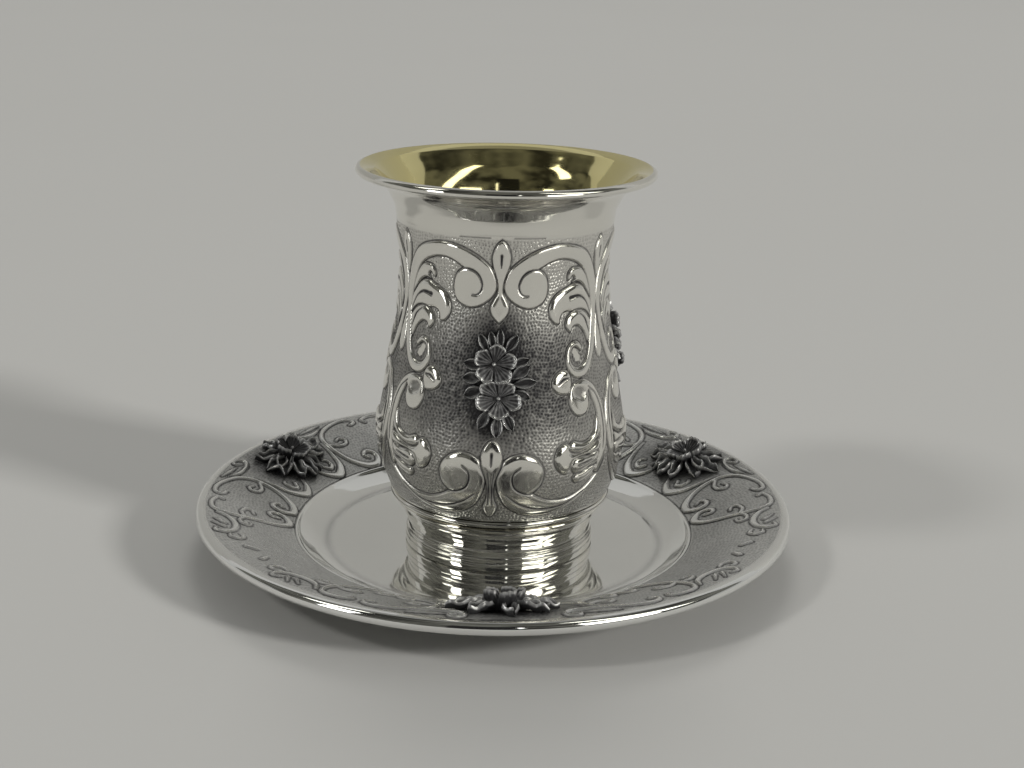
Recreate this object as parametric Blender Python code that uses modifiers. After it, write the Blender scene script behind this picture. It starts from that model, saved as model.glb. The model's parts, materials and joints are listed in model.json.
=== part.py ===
"""Kiddush cup: a chased silver beaker on a reeded foot, standing on its matching saucer.

The saucer's underside centre is the origin, +Z is up and the front is -Y. Angles round an
axis are measured from the front towards +X. Ornament is laid out flat, as (distance round
the piece, distance along it), and then wrapped on the turned surface that carries it.
"""

import math

import bmesh
import bpy

MM = 0.001  # every size below is written in millimetres and held in metres
GAP = 0.3 * MM  # clearance between pieces that touch
REPEATS = 3  # panels round the cup, sectors round the saucer
SEGMENTS = 40  # sides of the cup and the saucer
FOOT_SEGMENTS = 28

# Cup, heights above the underside of its foot
CUP_AXIS = (1.3 * MM, -0.9 * MM)  # the cup stands a little off the saucer's centre
CUP_TURN = -2.2  # degrees from the front to the first panel's centre line
RIM_RADIUS = 33.7 * MM
RIM_HEIGHT = 89.0 * MM
LIP_BEAD = 1.0 * MM  # radius of the rolled lip
WALL = 1.0 * MM
BOWL_BASE = 11.5 * MM  # underside of the bowl, on top of the foot
BOWL_FLOOR = BOWL_BASE + 1.1 * MM
CUP_WAIST = (  # (height, radius) down the outside, from under the lip to the bowl's base
    (86.7 * MM, 31.2 * MM),
    (84.9 * MM, 28.2 * MM),
    (81.5 * MM, 25.8 * MM),
    (75.5 * MM, 24.5 * MM),
    (68.0 * MM, 23.6 * MM),
    (61.0 * MM, 23.7 * MM),
    (51.0 * MM, 25.15 * MM),
    (38.0 * MM, 27.35 * MM),
    (28.0 * MM, 28.75 * MM),
    (21.0 * MM, 28.05 * MM),
    (15.5 * MM, 26.35 * MM),
)
BASE_BEAD = ((13.6 * MM, 25.5 * MM), (12.4 * MM, 25.7 * MM), (BOWL_BASE, 24.6 * MM))

# Foot: (height, radius) down the outside
FOOT_TOP = BOWL_BASE - GAP
FOOT_RADIUS = 22.0 * MM
FOOT_COVE = ((FOOT_TOP, 24.2 * MM), (9.4 * MM, 23.1 * MM), (7.3 * MM, 22.3 * MM))
REED_COUNT = 6
REED_PITCH = 1.13 * MM
REED_HEIGHT = 0.4 * MM
FOOT_WALL = 1.6 * MM
FOOT_INNER_TOP = 20.0 * MM  # radius of the hole under the bowl

# Saucer, heights above the table
WELL_TOP = 1.2 * MM
SHEET = 1.1 * MM
SAUCER_TURN = 3.3
SAUCER_TOP = (  # (radius, height above the well) across the top, from the well to the rim
    (40.0 * MM, 0.0),
    (43.2 * MM, 0.8 * MM),
    (46.4 * MM, 2.7 * MM),
    (52.0 * MM, 5.3 * MM),
    (58.0 * MM, 7.75 * MM),
    (63.0 * MM, 9.4 * MM),
    (68.0 * MM, 10.35 * MM),
)
ROLL_CENTRE = (68.6 * MM, 8.8 * MM)  # rolled rim: radius, height above the well
ROLL_RADII = (1.4 * MM, 1.5 * MM)
SAUCER_FOOT_RADIUS = 38.5 * MM  # the flat underside that it rests on

# Ornament
CUP_UNROLL = 26.0 * MM  # radius at which a panel's distances round the cup are measured
SAUCER_UNROLL = 58.0 * MM
SINK = 0.35 * MM  # how deep raised ornament is let into the wall
SCROLL_RELIEF = 0.6 * MM
LOBE_RELIEF = 0.7 * MM
FLANGE_RELIEF = 0.55 * MM


def value_at(table, place):
    """Straight-line reading of a table of (place, value) whose places rise."""
    for (low, first), (high, second) in zip(table, table[1:]):
        if place <= high:
            share = max(0.0, (place - low) / (high - low))
            return first + (second - first) * share
    return table[-1][1]


def arc(centre, radii, start, stop, count):
    """Points on an ellipse from one angle to another, in degrees."""
    angles = [math.radians(start + (stop - start) * i / (count - 1)) for i in range(count)]
    return [(centre[0] + radii[0] * math.cos(a), centre[1] + radii[1] * math.sin(a)) for a in angles]


# ---- Turned profiles: (radius, height) lists --------------------------------

CUP_OUTSIDE = [(r, z) for z, r in CUP_WAIST + BASE_BEAD]
CUP_RADII = sorted((z, r) for r, z in CUP_OUTSIDE)
SAUCER_TOP_LINE = [(r, z + WELL_TOP) for r, z in SAUCER_TOP]


def bowl_profile():
    """From the bowl's floor up the inside, over the lip, down the outside and to the axis."""
    bead_centre = (RIM_RADIUS - LIP_BEAD, RIM_HEIGHT - LIP_BEAD)
    rows = CUP_OUTSIDE[:3] + CUP_OUTSIDE[4:7] + CUP_OUTSIDE[8:11:2]
    inside = [(r - WALL, z + 0.4 * WALL) for r, z in reversed(rows)]
    floor_edge = inside[0][0] - 3 * MM
    lip = arc(bead_centre, (LIP_BEAD, LIP_BEAD), 135, -90, 6)
    return [(0, BOWL_FLOOR), (floor_edge, BOWL_FLOOR)] + inside + lip + CUP_OUTSIDE + [(0, BOWL_BASE)]


def foot_profile():
    """Down the reeded outside and back up the hollow inside."""
    crests = [(FOOT_RADIUS + REED_HEIGHT, (i + 0.5) * REED_PITCH) for i in range(REED_COUNT)]
    notches = [(FOOT_RADIUS, i * REED_PITCH) for i in range(REED_COUNT)]
    reeds = [point for pair in zip(crests, notches) for point in pair]
    reeds.sort(key=lambda point: -point[1])
    outside = [(r, z) for z, r in FOOT_COVE] + reeds
    inside = [(FOOT_RADIUS - FOOT_WALL, 0), (FOOT_RADIUS - FOOT_WALL, FOOT_COVE[2][0]),
              (FOOT_INNER_TOP, FOOT_TOP)]
    return outside + inside


def saucer_profile():
    """Across the top from the axis, round the rolled rim and back under the sheet."""
    centre = (ROLL_CENTRE[0], ROLL_CENTRE[1] + WELL_TOP)
    roll = arc(centre, ROLL_RADII, 72, -108, 6)
    under = [(r + 0.3 * SHEET, z - SHEET) for r, z in reversed(SAUCER_TOP_LINE[2:-1:2])]
    return [(0, WELL_TOP)] + SAUCER_TOP_LINE + roll + under + [(SAUCER_FOOT_RADIUS, 0), (0, 0)]


# ---- Wrapping flat ornament on the turned surfaces -----------------------------

def on_cup(around, along, height, panel):
    """World place of a point of a cup panel, raised by a height from the wall."""
    step = 0.5 * MM
    slope = (value_at(CUP_RADII, along + step) - value_at(CUP_RADII, along - step)) / (2 * step)
    stretch = height / math.hypot(1, slope)
    angle = around / CUP_UNROLL + math.radians(CUP_TURN + 360 / REPEATS * panel)
    radius = value_at(CUP_RADII, along) + stretch
    level = WELL_TOP + GAP + along - slope * stretch
    return (CUP_AXIS[0] + radius * math.sin(angle), CUP_AXIS[1] - radius * math.cos(angle), level)


def on_saucer(around, along, height, sector):
    """World place of a point of a flange sector; along is its distance from the saucer's axis."""
    step = 0.5 * MM
    rise = value_at(SAUCER_TOP_LINE, along + step) - value_at(SAUCER_TOP_LINE, along - step)
    slope = rise / (2 * step)
    stretch = height / math.hypot(1, slope)
    angle = around / SAUCER_UNROLL + math.radians(SAUCER_TURN + 360 / REPEATS * sector)
    radius = along - slope * stretch
    return (radius * math.sin(angle), -radius * math.cos(angle),
            value_at(SAUCER_TOP_LINE, along) + stretch)


def degrees_round(unroll, pairs):
    """Turns (degrees, millimetres along) pairs into flat (around, along) places."""
    return [(math.radians(degrees) * unroll, along * MM) for degrees, along in pairs]


# ---- Making meshes ----------------------------------------------------------------

def add_object(name, mesh, collection):
    thing = bpy.data.objects.new(name, mesh)
    collection.objects.link(thing)
    return thing


def turned(name, profile, collection, segments=SEGMENTS, centre=(0, 0), base=0):
    """A solid of revolution: the profile at +X, swept round by a Screw."""
    mesh = bpy.data.meshes.new(name)
    count = len(profile)
    closed = profile[0][0] > 0
    edges = [(i, (i + 1) % count) for i in range(count if closed else count - 1)]
    mesh.from_pydata([(r, 0, z) for r, z in profile], edges, [])
    thing = add_object(name, mesh, collection)
    thing.location = (centre[0], centre[1], base)
    screw = thing.modifiers.new("Turn", "SCREW")
    screw.steps = segments
    screw.render_steps = segments
    screw.use_merge_vertices = True
    screw.merge_threshold = 0.01 * MM
    screw.use_smooth_shade = True
    return thing


def prism_between(rings, name, collection):
    """One closed body through rings of equal count, with a fan at each end."""
    shape = bmesh.new()
    rows = [[shape.verts.new(point) for point in ring] for ring in rings]
    for first, second in zip(rows, rows[1:]):
        for i in range(len(first)):
            j = (i + 1) % len(first)
            shape.faces.new((first[i], first[j], second[j], second[i]))
    shape.faces.new(reversed(rows[0]))
    shape.faces.new(rows[-1])
    bmesh.ops.triangulate(shape, faces=shape.faces)
    bmesh.ops.recalc_face_normals(shape, faces=shape.faces)
    mesh = bpy.data.meshes.new(name)
    shape.to_mesh(mesh)
    shape.free()
    return add_object(name, mesh, collection)


def ribbon(path, widths, relief, place, name, collection, sink=SINK):
    """A raised ridge along a flat path; its width is read from evenly spaced widths."""
    table = [(i / (len(widths) - 1), width) for i, width in enumerate(widths)]
    rings = []
    for i, (around, along) in enumerate(path):
        before = path[max(i - 1, 0)]
        after = path[min(i + 1, len(path) - 1)]
        reach = math.hypot(after[0] - before[0], after[1] - before[1])
        side = ((before[1] - after[1]) / reach, (after[0] - before[0]) / reach)
        foot = value_at(table, i / (len(path) - 1)) / 2
        corners = ((-foot, -sink), (0, relief), (foot, -sink))
        rings.append([place(around + side[0] * off, along + side[1] * off, height)
                      for off, height in corners])
    return prism_between(rings, name, collection)


def leaf(root, tip, width, relief, place, name, collection, spans=2, sink=SINK):
    """A pointed or round lobe between two flat places, widest just past the middle."""
    path = [tuple(a + (b - a) * i / spans for a, b in zip(root, tip)) for i in range(spans + 1)]
    widths = [width * (0.2 + 0.8 * math.sin(math.pi * (0.12 + 0.76 * i / spans))) for i in range(spans + 1)]
    return ribbon(path, widths, relief, place, name, collection, sink)


def fuse(thing, helpers):
    """Joins every helper in a collection to an object."""
    union = thing.modifiers.new("Ornament", "BOOLEAN")
    union.operation = "UNION"
    union.operand_type = "COLLECTION"
    union.collection = helpers
    union.solver = "EXACT"


# ---- The cup's scrollwork ------------------------------------------------------------

def cup_scrolls():
    """(path, widths) of the scroll bands of half a panel, in (degrees, mm) from its centre line."""
    upper = ((37.8, 50.8), (42.5, 47.2), (52.5, 50.6), (56.5, 60.5), (51.0, 70.8), (41.0, 73.6), (30.0, 74.3),
             (20.0, 73.8), (11.5, 71.6), (7.0, 65.5), (17.5, 63.6))
    lower = ((38.4, 41.2), (46.0, 44.2), (55.0, 39.6), (55.5, 28.0))
    bottom = ((55.5, 25.6), (46.0, 20.8), (35.0, 18.0), (23.0, 16.7), (12.0, 17.0), (5.0, 25.5), (16.5, 29.5))
    return ((upper, (2.2, 2.8, 3.0, 3.2, 3.2, 2.8, 2.4)), (lower, (2.2, 2.6, 2.8, 2.4)),
            (bottom, (2.2, 2.6, 3.0, 2.8, 2.2)))


def cup_lobes():
    """(root, tip, width in mm) of the leaf lobes of half a panel."""
    return (((54.0, 62.4), (28.0, 61.6), 6.4), ((54.0, 30.2), (29.0, 29.6), 6.0))


def cup_leaves():
    """(root, tip, width in mm) of the leaves that stand on a panel's centre line or on its edge."""
    return (((0.0, 67.5), (0.0, 77.0), 4.0), ((0.0, 68.5), (0.0, 59.3), 3.8), ((0.0, 25.5), (0.0, 33.5), 3.4),
            ((60.0, 66.5), (60.0, 76.3), 4.0))


def dress_cup(body, helpers):
    """Raises the scrollwork of every panel on the body."""
    for panel in range(REPEATS):
        def place(around, along, height, panel=panel):
            return on_cup(around, along, height, panel)
        for side in (1, -1):
            for path, widths in cup_scrolls():
                flat = degrees_round(CUP_UNROLL, [(side * a, z) for a, z in path])
                ribbon(flat, [w * MM for w in widths], SCROLL_RELIEF, place, "cup_scroll", helpers)
            for root, tip, width in cup_lobes():
                ends = degrees_round(CUP_UNROLL, [(side * root[0], root[1]), (side * tip[0], tip[1])])
                leaf(*ends, width * MM, LOBE_RELIEF, place, "cup_lobe", helpers)
        for root, tip, width in cup_leaves():
            ends = degrees_round(CUP_UNROLL, [root, tip])
            leaf(*ends, width * MM, LOBE_RELIEF, place, "cup_leaf", helpers)
    fuse(body, helpers)


# ---- The saucer's scrollwork ------------------------------------------------------------

def flange_scrolls():
    """(path, widths) of the scrolls of half a sector, in (degrees, mm from the axis) from its spray."""
    near = ((25.6, 51.2), (20.5, 50.9), (17.0, 58.6), (20.5, 65.2), (28.5, 65.4))
    far = ((32.6, 49.8), (36.8, 52.0), (36.8, 61.0), (33.0, 66.2))
    crescent = ((5.0, 52.4), (10.2, 49.0), (14.2, 60.0))
    tail = ((38.8, 64.8), (43.5, 61.3), (49.6, 65.6))
    return ((near, (2.4, 2.0, 1.8)), (far, (2.2, 1.6, 1.6)), (crescent, (1.2, 2.3, 1.2)), (tail, (1.2, 1.6)))


def dress_saucer(dish, helpers):
    """Raises the flange's scrollwork on the saucer."""
    for sector in range(REPEATS):
        def place(around, along, height, sector=sector):
            return on_saucer(around, along, height, sector)
        for side in (1, -1):
            for path, widths in flange_scrolls():
                flat = degrees_round(SAUCER_UNROLL, [(side * a, r) for a, r in path])
                ribbon(flat, [w * MM for w in widths], FLANGE_RELIEF, place, "flange_scroll", helpers)
    fuse(dish, helpers)


# ---- Cast flower sprays ---------------------------------------------------------------

def blossom(centre, radius, rise, place, name, collection, turn=0.0):
    """A five-petalled flower: low notches between the petals and a raised heart."""
    petals = 5
    def ring(spread, notch, height, low):
        points = []
        for i in range(2 * petals):
            angle = math.radians(turn) + math.pi * i / petals
            size = spread if i % 2 == 0 else spread * notch
            lift = height if i % 2 == 0 else low
            points.append(place(centre[0] + size * math.sin(angle), centre[1] + size * math.cos(angle), lift))
        return points
    rings = [ring(0.85 * radius, 0.75, GAP, GAP), ring(radius, 0.72, rise, 0.7 * rise)]
    return prism_between(rings, name, collection)


def spray(name, flowers, leaves, place, collection, helpers):
    """One casting: blossoms over leaves, with its back a gap away from the wall."""
    first = None
    for i, (around, along, radius, rise, turn) in enumerate(flowers):
        holder = collection if first is None else helpers
        made = blossom((around * MM, along * MM), radius * MM, rise * MM, place,
                       name if first is None else f"{name}_blossom_{i}", holder, turn)
        first = first or made
    for i, (root, tip, width) in enumerate(leaves):
        ends = [tuple(part * MM for part in end) for end in (root, tip)]
        leaf(*ends, width * MM, 1.25 * MM, place, f"{name}_leaf_{i}", helpers, sink=-GAP)
    fuse(first, helpers)
    return first


CUP_SPRAY_FLOWERS = ((0.0, 49.6, 4.2, 2.4, 0.0), (0.2, 42.2, 4.2, 2.7, 180.0))  # around, along, radius, rise, turn
CUP_SPRAY_LEAVES = (  # root, tip, width: millimetres round and along the panel
    ((0.1, 51.0), (-0.2, 40.0), 4.4), ((-0.6, 50.0), (-3.6, 57.4), 3.0), ((0.8, 50.0), (3.0, 57.6), 3.0),
    ((1.0, 45.5), (7.4, 47.2), 3.4), ((-1.0, 45.5), (-7.2, 46.8), 3.4), ((0.0, 42.0), (0.2, 34.8), 3.6))
FLANGE_SPRAY_FLOWERS = ((0.0, 61.8, 4.7, 3.6, 0.0), (-4.5, 57.4, 3.9, 2.8, 30.0), (4.4, 57.6, 3.9, 2.8, 14.0))
FLANGE_SPRAY_LEAVES = (
    ((-1.0, 61.5), (-6.6, 66.0), 3.0), ((1.0, 61.5), (6.8, 65.8), 3.0), ((-3.0, 59.0), (-9.6, 61.4), 3.0),
    ((3.0, 59.0), (9.6, 61.2), 3.0), ((0.1, 61.0), (-0.2, 51.6), 4.4))


# ---- Finishes and assembly ----------------------------------------------------------------

def metal(name, colour, roughness):
    material = bpy.data.materials.new(name)
    material.use_nodes = True
    shader = material.node_tree.nodes["Principled BSDF"]
    shader.inputs["Base Color"].default_value = (*colour, 1)
    shader.inputs["Metallic"].default_value = 1
    shader.inputs["Roughness"].default_value = roughness
    return material


def new_collection(name, helper=False):
    collection = bpy.data.collections.new(name)
    bpy.context.scene.collection.children.link(collection)
    collection.hide_render = helper
    return collection


def clear_scene():
    for thing in list(bpy.data.objects):
        bpy.data.objects.remove(thing, do_unlink=True)


def hide_helpers(collections):
    for collection in collections:
        for thing in collection.objects:
            thing.hide_render = True
            thing.display_type = "WIRE"


def main():
    clear_scene()
    parts = new_collection("kiddush_cup")
    helpers = {name: new_collection(name, helper=True) for name in ("cup_relief", "flange_relief")}
    cup_level = WELL_TOP + GAP

    saucer = turned("saucer", saucer_profile(), parts)
    dress_saucer(saucer, helpers["flange_relief"])
    body = turned("cup_body", bowl_profile(), parts, SEGMENTS, CUP_AXIS, cup_level)
    dress_cup(body, helpers["cup_relief"])
    foot = turned("cup_foot", foot_profile(), parts, FOOT_SEGMENTS, CUP_AXIS, cup_level)
    finishes = [(saucer, (0.76, 0.76, 0.74), 0.16), (body, (0.80, 0.80, 0.78), 0.12),
                (foot, (0.80, 0.80, 0.78), 0.08)]

    for repeat, side in enumerate(("front", "right", "left")):
        for piece, wrap, flowers, leaves in (
                ("cup_spray", on_cup, CUP_SPRAY_FLOWERS, CUP_SPRAY_LEAVES),
                ("saucer_spray", on_saucer, FLANGE_SPRAY_FLOWERS, FLANGE_SPRAY_LEAVES)):
            name = f"{piece}_{side}"
            helpers[name] = new_collection(f"{name}_petals", helper=True)
            def place(around, along, height, wrap=wrap, repeat=repeat):
                return wrap(around, along, height, repeat)
            casting = spray(name, flowers, leaves, place, parts, helpers[name])
            finishes.append((casting, (0.20, 0.20, 0.21), 0.38))

    for thing, colour, roughness in finishes:
        thing.data.materials.append(metal(f"{thing.name}_silver", colour, roughness))
    hide_helpers(helpers.values())


main()
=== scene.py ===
"""Looks of a kiddush cup on its saucer: chased silver, gilt inside, with oxidised cast flowers.

Sizes are in millimetres and angles in degrees, unless a name says otherwise. Angles round an
axis run from the front (-Y) towards +X. Ornament is drawn flat, as degrees round the piece and
millimetres along it, and then wrapped on the turned surface that carries it.
"""

import json
import logging
import math
from dataclasses import dataclass, field
from enum import Enum
from typing import Optional, Sequence, Union

import bmesh
import bpy
import numpy as np
from mathutils import Matrix, Vector

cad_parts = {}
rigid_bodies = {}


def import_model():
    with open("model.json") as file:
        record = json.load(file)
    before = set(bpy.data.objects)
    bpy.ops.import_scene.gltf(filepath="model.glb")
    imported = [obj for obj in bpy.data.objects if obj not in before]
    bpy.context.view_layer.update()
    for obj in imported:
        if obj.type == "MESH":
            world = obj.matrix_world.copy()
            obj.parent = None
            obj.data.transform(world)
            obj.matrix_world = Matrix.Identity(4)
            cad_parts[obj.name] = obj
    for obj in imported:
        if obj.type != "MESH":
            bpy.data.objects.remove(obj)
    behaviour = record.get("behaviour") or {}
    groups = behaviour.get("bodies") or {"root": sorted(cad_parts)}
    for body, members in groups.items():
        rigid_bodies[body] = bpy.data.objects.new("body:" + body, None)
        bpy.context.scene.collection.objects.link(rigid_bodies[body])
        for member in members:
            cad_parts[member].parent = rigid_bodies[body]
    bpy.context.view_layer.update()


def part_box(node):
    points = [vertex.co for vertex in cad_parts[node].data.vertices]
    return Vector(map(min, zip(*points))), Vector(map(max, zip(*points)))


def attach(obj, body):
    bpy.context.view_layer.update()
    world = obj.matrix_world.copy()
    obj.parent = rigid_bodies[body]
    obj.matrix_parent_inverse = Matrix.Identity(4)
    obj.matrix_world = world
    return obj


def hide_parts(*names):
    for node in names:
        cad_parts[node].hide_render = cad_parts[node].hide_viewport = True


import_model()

MM = 0.001
WELD_WITHIN = 1e-7  # metres between points that are taken for one
PATH_STEP = 0.5  # between the points of ornament's outlines
log = logging.getLogger("kiddush_cup")

Array = np.ndarray
Pair = tuple[float, float]
Triple = tuple[float, float, float]
Colour = Triple


class Side(Enum):
    """The cup's panels and the saucer's sectors, counted from the front towards +X."""

    FRONT = 0
    RIGHT = 1
    LEFT = 2

    @property
    def label(self) -> str:
        """The side as it stands in the names of pieces and solids."""
        return self.name.lower()

    def shift(self, unroll: float) -> float:
        """Millimetres round a piece, at `unroll` to a degree, from the front to this side's middle."""
        return self.value * 360 / len(Side) * unroll


# ---------------------------------------------------------------- shader maths


class Value:
    """A shader socket that Python's operators work on, by adding Math nodes."""

    def __init__(self, tree: bpy.types.NodeTree, socket: bpy.types.NodeSocket) -> None:
        """Wraps one output socket of a node tree."""
        self.tree = tree
        self.socket = socket

    def _math(self, operation: str, *others: Union["Value", float], clamp: bool = False) -> "Value":
        """Adds a Math node.

        Args:
            operation: the node's operation.
            others: its inputs, as values or numbers.
            clamp: whether the result is held between 0 and 1.

        Returns:
            The node's result.
        """
        node = self.tree.nodes.new("ShaderNodeMath")
        node.operation = operation
        node.use_clamp = clamp
        for slot, other in zip(node.inputs, others):
            if isinstance(other, Value):
                self.tree.links.new(other.socket, slot)
            else:
                slot.default_value = other
        return Value(self.tree, node.outputs[0])

    def __add__(self, other: Union["Value", float]) -> "Value":
        """Sum."""
        return self._math("ADD", self, other)

    __radd__ = __add__

    def __sub__(self, other: Union["Value", float]) -> "Value":
        """Difference."""
        return self._math("SUBTRACT", self, other)

    def __rsub__(self, other: float) -> "Value":
        """Reflected difference."""
        return self._math("SUBTRACT", other, self)

    def __mul__(self, other: Union["Value", float]) -> "Value":
        """Product."""
        return self._math("MULTIPLY", self, other)

    __rmul__ = __mul__

    def held(self) -> "Value":
        """The value held between 0 and 1."""
        return self._math("ADD", self, 0.0, clamp=True)


class Nodes:
    """A node tree, with one way to add any node and short ways to add the common ones."""

    MIX_SHARE, MIX_FIRST, MIX_SECOND, MIX_RESULT = 0, 6, 7, 2  # a Mix node's sockets for colours

    def __init__(self, tree: bpy.types.NodeTree) -> None:
        """Keeps the tree that the nodes go into."""
        self.tree = tree

    def node(self, kind: str, settings: Optional[dict] = None,
             inputs: Optional[dict] = None) -> bpy.types.Node:
        """Adds any node.

        Args:
            kind: the node's type.
            settings: its properties, set before the sockets.
            inputs: socket names or numbers with their values or links.

        Returns:
            The new node.
        """
        made = self.tree.nodes.new(kind)
        for key, value in (settings or {}).items():
            setattr(made, key, value)
        for key, value in (inputs or {}).items():
            self.feed(made.inputs[key], value)
        return made

    def feed(self, socket: bpy.types.NodeSocket, value: object) -> None:
        """Links a value to a socket, or sets the socket's own number or colour.

        Args:
            socket: the socket to feed.
            value: a Value or an output socket to link, or what to set.
        """
        if isinstance(value, Value):
            self.tree.links.new(value.socket, socket)
        elif isinstance(value, bpy.types.NodeSocket):
            self.tree.links.new(value, socket)
        else:
            socket.default_value = value

    def attribute(self, name: str) -> Value:
        """The mesh attribute of that name."""
        made = self.node("ShaderNodeAttribute", {"attribute_name": name})
        return Value(self.tree, made.outputs["Fac"])

    def noise(self, scale: float, detail: float = 2.0) -> Value:
        """Noise in the object's own space.

        Args:
            scale: how many features fit in a metre.
            detail: how many finer layers it has.

        Returns:
            The noise, around 0.5.
        """
        place = self.node("ShaderNodeTexCoord").outputs["Object"]
        made = self.node("ShaderNodeTexNoise", {}, {"Vector": place, "Scale": scale, "Detail": detail})
        return Value(self.tree, made.outputs["Fac"])

    def blend(self, share: Union[Value, float], first: Colour, second: Colour) -> bpy.types.NodeSocket:
        """A colour between two colours.

        Args:
            share: 0 for the first colour, 1 for the second.
            first: one colour.
            second: the other colour.

        Returns:
            The mixed colour's socket.
        """
        inputs = {self.MIX_SHARE: share, self.MIX_FIRST: (*first, 1), self.MIX_SECOND: (*second, 1)}
        return self.node("ShaderNodeMix", {"data_type": "RGBA"}, inputs).outputs[self.MIX_RESULT]

    def bump(self, height: Value, distance: float) -> bpy.types.NodeSocket:
        """A normal from a height, whose full range stands for a distance in metres."""
        made = self.node("ShaderNodeBump", {}, {"Distance": distance, "Height": height})
        return made.outputs["Normal"]


class Recipe(Nodes):
    """The nodes of one material."""

    def __init__(self, name: str) -> None:
        """Starts a material with a Principled shader.

        Args:
            name: the material's name.
        """
        self.material = bpy.data.materials.new(name)
        self.material.use_nodes = True
        super().__init__(self.material.node_tree)
        self.shader = self.tree.nodes["Principled BSDF"]

    def finish(self, **sockets: object) -> bpy.types.Material:
        """Feeds the shader.

        Args:
            sockets: the shader's sockets, with _ for a space, and their values or links.

        Returns:
            The finished material.
        """
        for name, value in sockets.items():
            self.feed(self.shader.inputs[name.replace("_", " ")], value)
        return self.material


# ---------------------------------------------------------------- finishes


@dataclass(frozen=True)
class Silver:
    """Silver that oxidation darkens where the mesh attribute `patina` says; on the chased grounds and
    in the foot's creases that attribute also carries painted shade.

    `film` is a faint veil of tarnish everywhere, `dull` the roughness of full tarnish, and `lost`
    the share of the metal's mirror that full tarnish takes. `even`, `cloudy` and `grainy` say how
    much of the patina is even and how much comes in clouds and in grains.
    """

    name: str
    colour: Colour = (0.87, 0.855, 0.80)
    tarnish: Colour = (0.030, 0.029, 0.031)
    roughness: float = 0.09
    mottle: float = 0.06
    dull: float = 0.42
    lost: float = 0.55
    film: float = 0.05
    even: float = 0.55
    cloudy: float = 0.4
    grainy: float = 0.5
    cloud_scale: float = 60.0
    grain_scale: float = 900.0
    waviness: float = 0.02 * MM
    wave_scale: float = 110.0

    def material(self) -> bpy.types.Material:
        """Builds the material.

        Returns:
            The material, ready to be put on a mesh.
        """
        recipe = Recipe(self.name)
        patina = recipe.attribute("patina")
        cloud = recipe.noise(self.cloud_scale, 3.0)
        grain = recipe.noise(self.grain_scale)
        uneven = self.even + self.cloudy * cloud + self.grainy * grain
        dark = (patina * uneven + self.film * cloud).held()
        colour = recipe.blend(dark, self.colour, self.tarnish)
        rough = self.roughness + (cloud - 0.5) * self.mottle + dark * (self.dull - self.roughness)
        normal = recipe.bump(recipe.noise(self.wave_scale, 1.0), self.waviness)
        return recipe.finish(Base_Color=colour, Metallic=1.0 - dark * self.lost, Roughness=rough.held(),
                             Normal=normal)


@dataclass(frozen=True)
class Gilt:
    """Thin gold plating inside the bowl, slightly uneven in colour and polish."""

    name: str = "gilt"
    colour: Colour = (0.83, 0.73, 0.33)
    pale: Colour = (0.85, 0.78, 0.45)
    roughness: float = 0.07
    mottle: float = 0.03
    cloud_scale: float = 45.0
    waviness: float = 0.012 * MM
    wave_scale: float = 70.0

    def material(self) -> bpy.types.Material:
        """Builds the material.

        Returns:
            The material, ready to be put on a mesh.
        """
        recipe = Recipe(self.name)
        cloud = recipe.noise(self.cloud_scale)
        normal = recipe.bump(recipe.noise(self.wave_scale, 1.0), self.waviness)
        return recipe.finish(Base_Color=recipe.blend(cloud, self.colour, self.pale), Metallic=1.0,
                             Roughness=self.roughness + cloud * self.mottle, Normal=normal)


@dataclass(frozen=True)
class Card:
    """A matte studio surface."""

    name: str
    colour: Colour
    mottle: float = 0.02
    patches: float = 3.0

    def material(self) -> bpy.types.Material:
        """Builds the material.

        Returns:
            The material, ready to be put on a mesh.
        """
        recipe = Recipe(self.name)
        darker = tuple(part * (1 - self.mottle) for part in self.colour)
        colour = recipe.blend(recipe.noise(self.patches), self.colour, darker)
        return recipe.finish(Base_Color=colour, Roughness=0.9, Specular_IOR_Level=0.1)


@dataclass(frozen=True)
class Glow:
    """A studio surface that shines by itself, with `dimmer` of its light left in dim patches."""

    name: str
    colour: Colour
    dimmer: float = 0.75
    patches: float = 2.5
    contrast: float = 4.0

    def material(self) -> bpy.types.Material:
        """Builds the material.

        Returns:
            The material, ready to be put on a mesh.
        """
        recipe = Recipe(self.name)
        dim = tuple(part * self.dimmer for part in self.colour)
        share = ((recipe.noise(self.patches) - 0.5) * self.contrast + 0.5).held()
        glow = recipe.blend(share, self.colour, dim)
        return recipe.finish(Base_Color=(0, 0, 0, 1), Roughness=1.0, Specular_IOR_Level=0.0,
                             Emission_Color=glow, Emission_Strength=1.0)


# ---------------------------------------------------------------- flat geometry


def smooth_path(points: Sequence[Pair], step: float, closed: bool = False) -> Array:
    """A smooth curve through points; a point given twice makes a corner.

    Args:
        points: the points that the curve goes through.
        step: the longest distance between two points of the result.
        closed: whether the curve returns to its start.

    Returns:
        The curve's points, one a row.
    """
    given = np.asarray(points, float)
    if closed:
        ring = np.vstack([given[-1:], given, given[:2]])
    else:
        ring = np.vstack([given[:1], given, given[-1:]])
    pieces = []
    for before, start, stop, after in zip(ring, ring[1:], ring[2:], ring[3:]):
        reach = np.linalg.norm(stop - start)
        if reach == 0:
            continue
        t = np.arange(0, 1, 1 / math.ceil(reach / step))[:, None]
        square = 2 * before - 5 * start + 4 * stop - after
        cube = 3 * start - before - 3 * stop + after
        pieces.append(0.5 * (2 * start + (stop - before) * t + square * t**2 + cube * t**3))
    if not closed:
        pieces.append(given[-1:])
    return np.vstack(pieces)


def ease(value: Array, low: float, high: float) -> Array:
    """Smooth step from 0 at low to 1 at high."""
    t = np.clip((value - low) / (high - low), 0, 1)
    return t * t * (3 - 2 * t)


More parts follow.
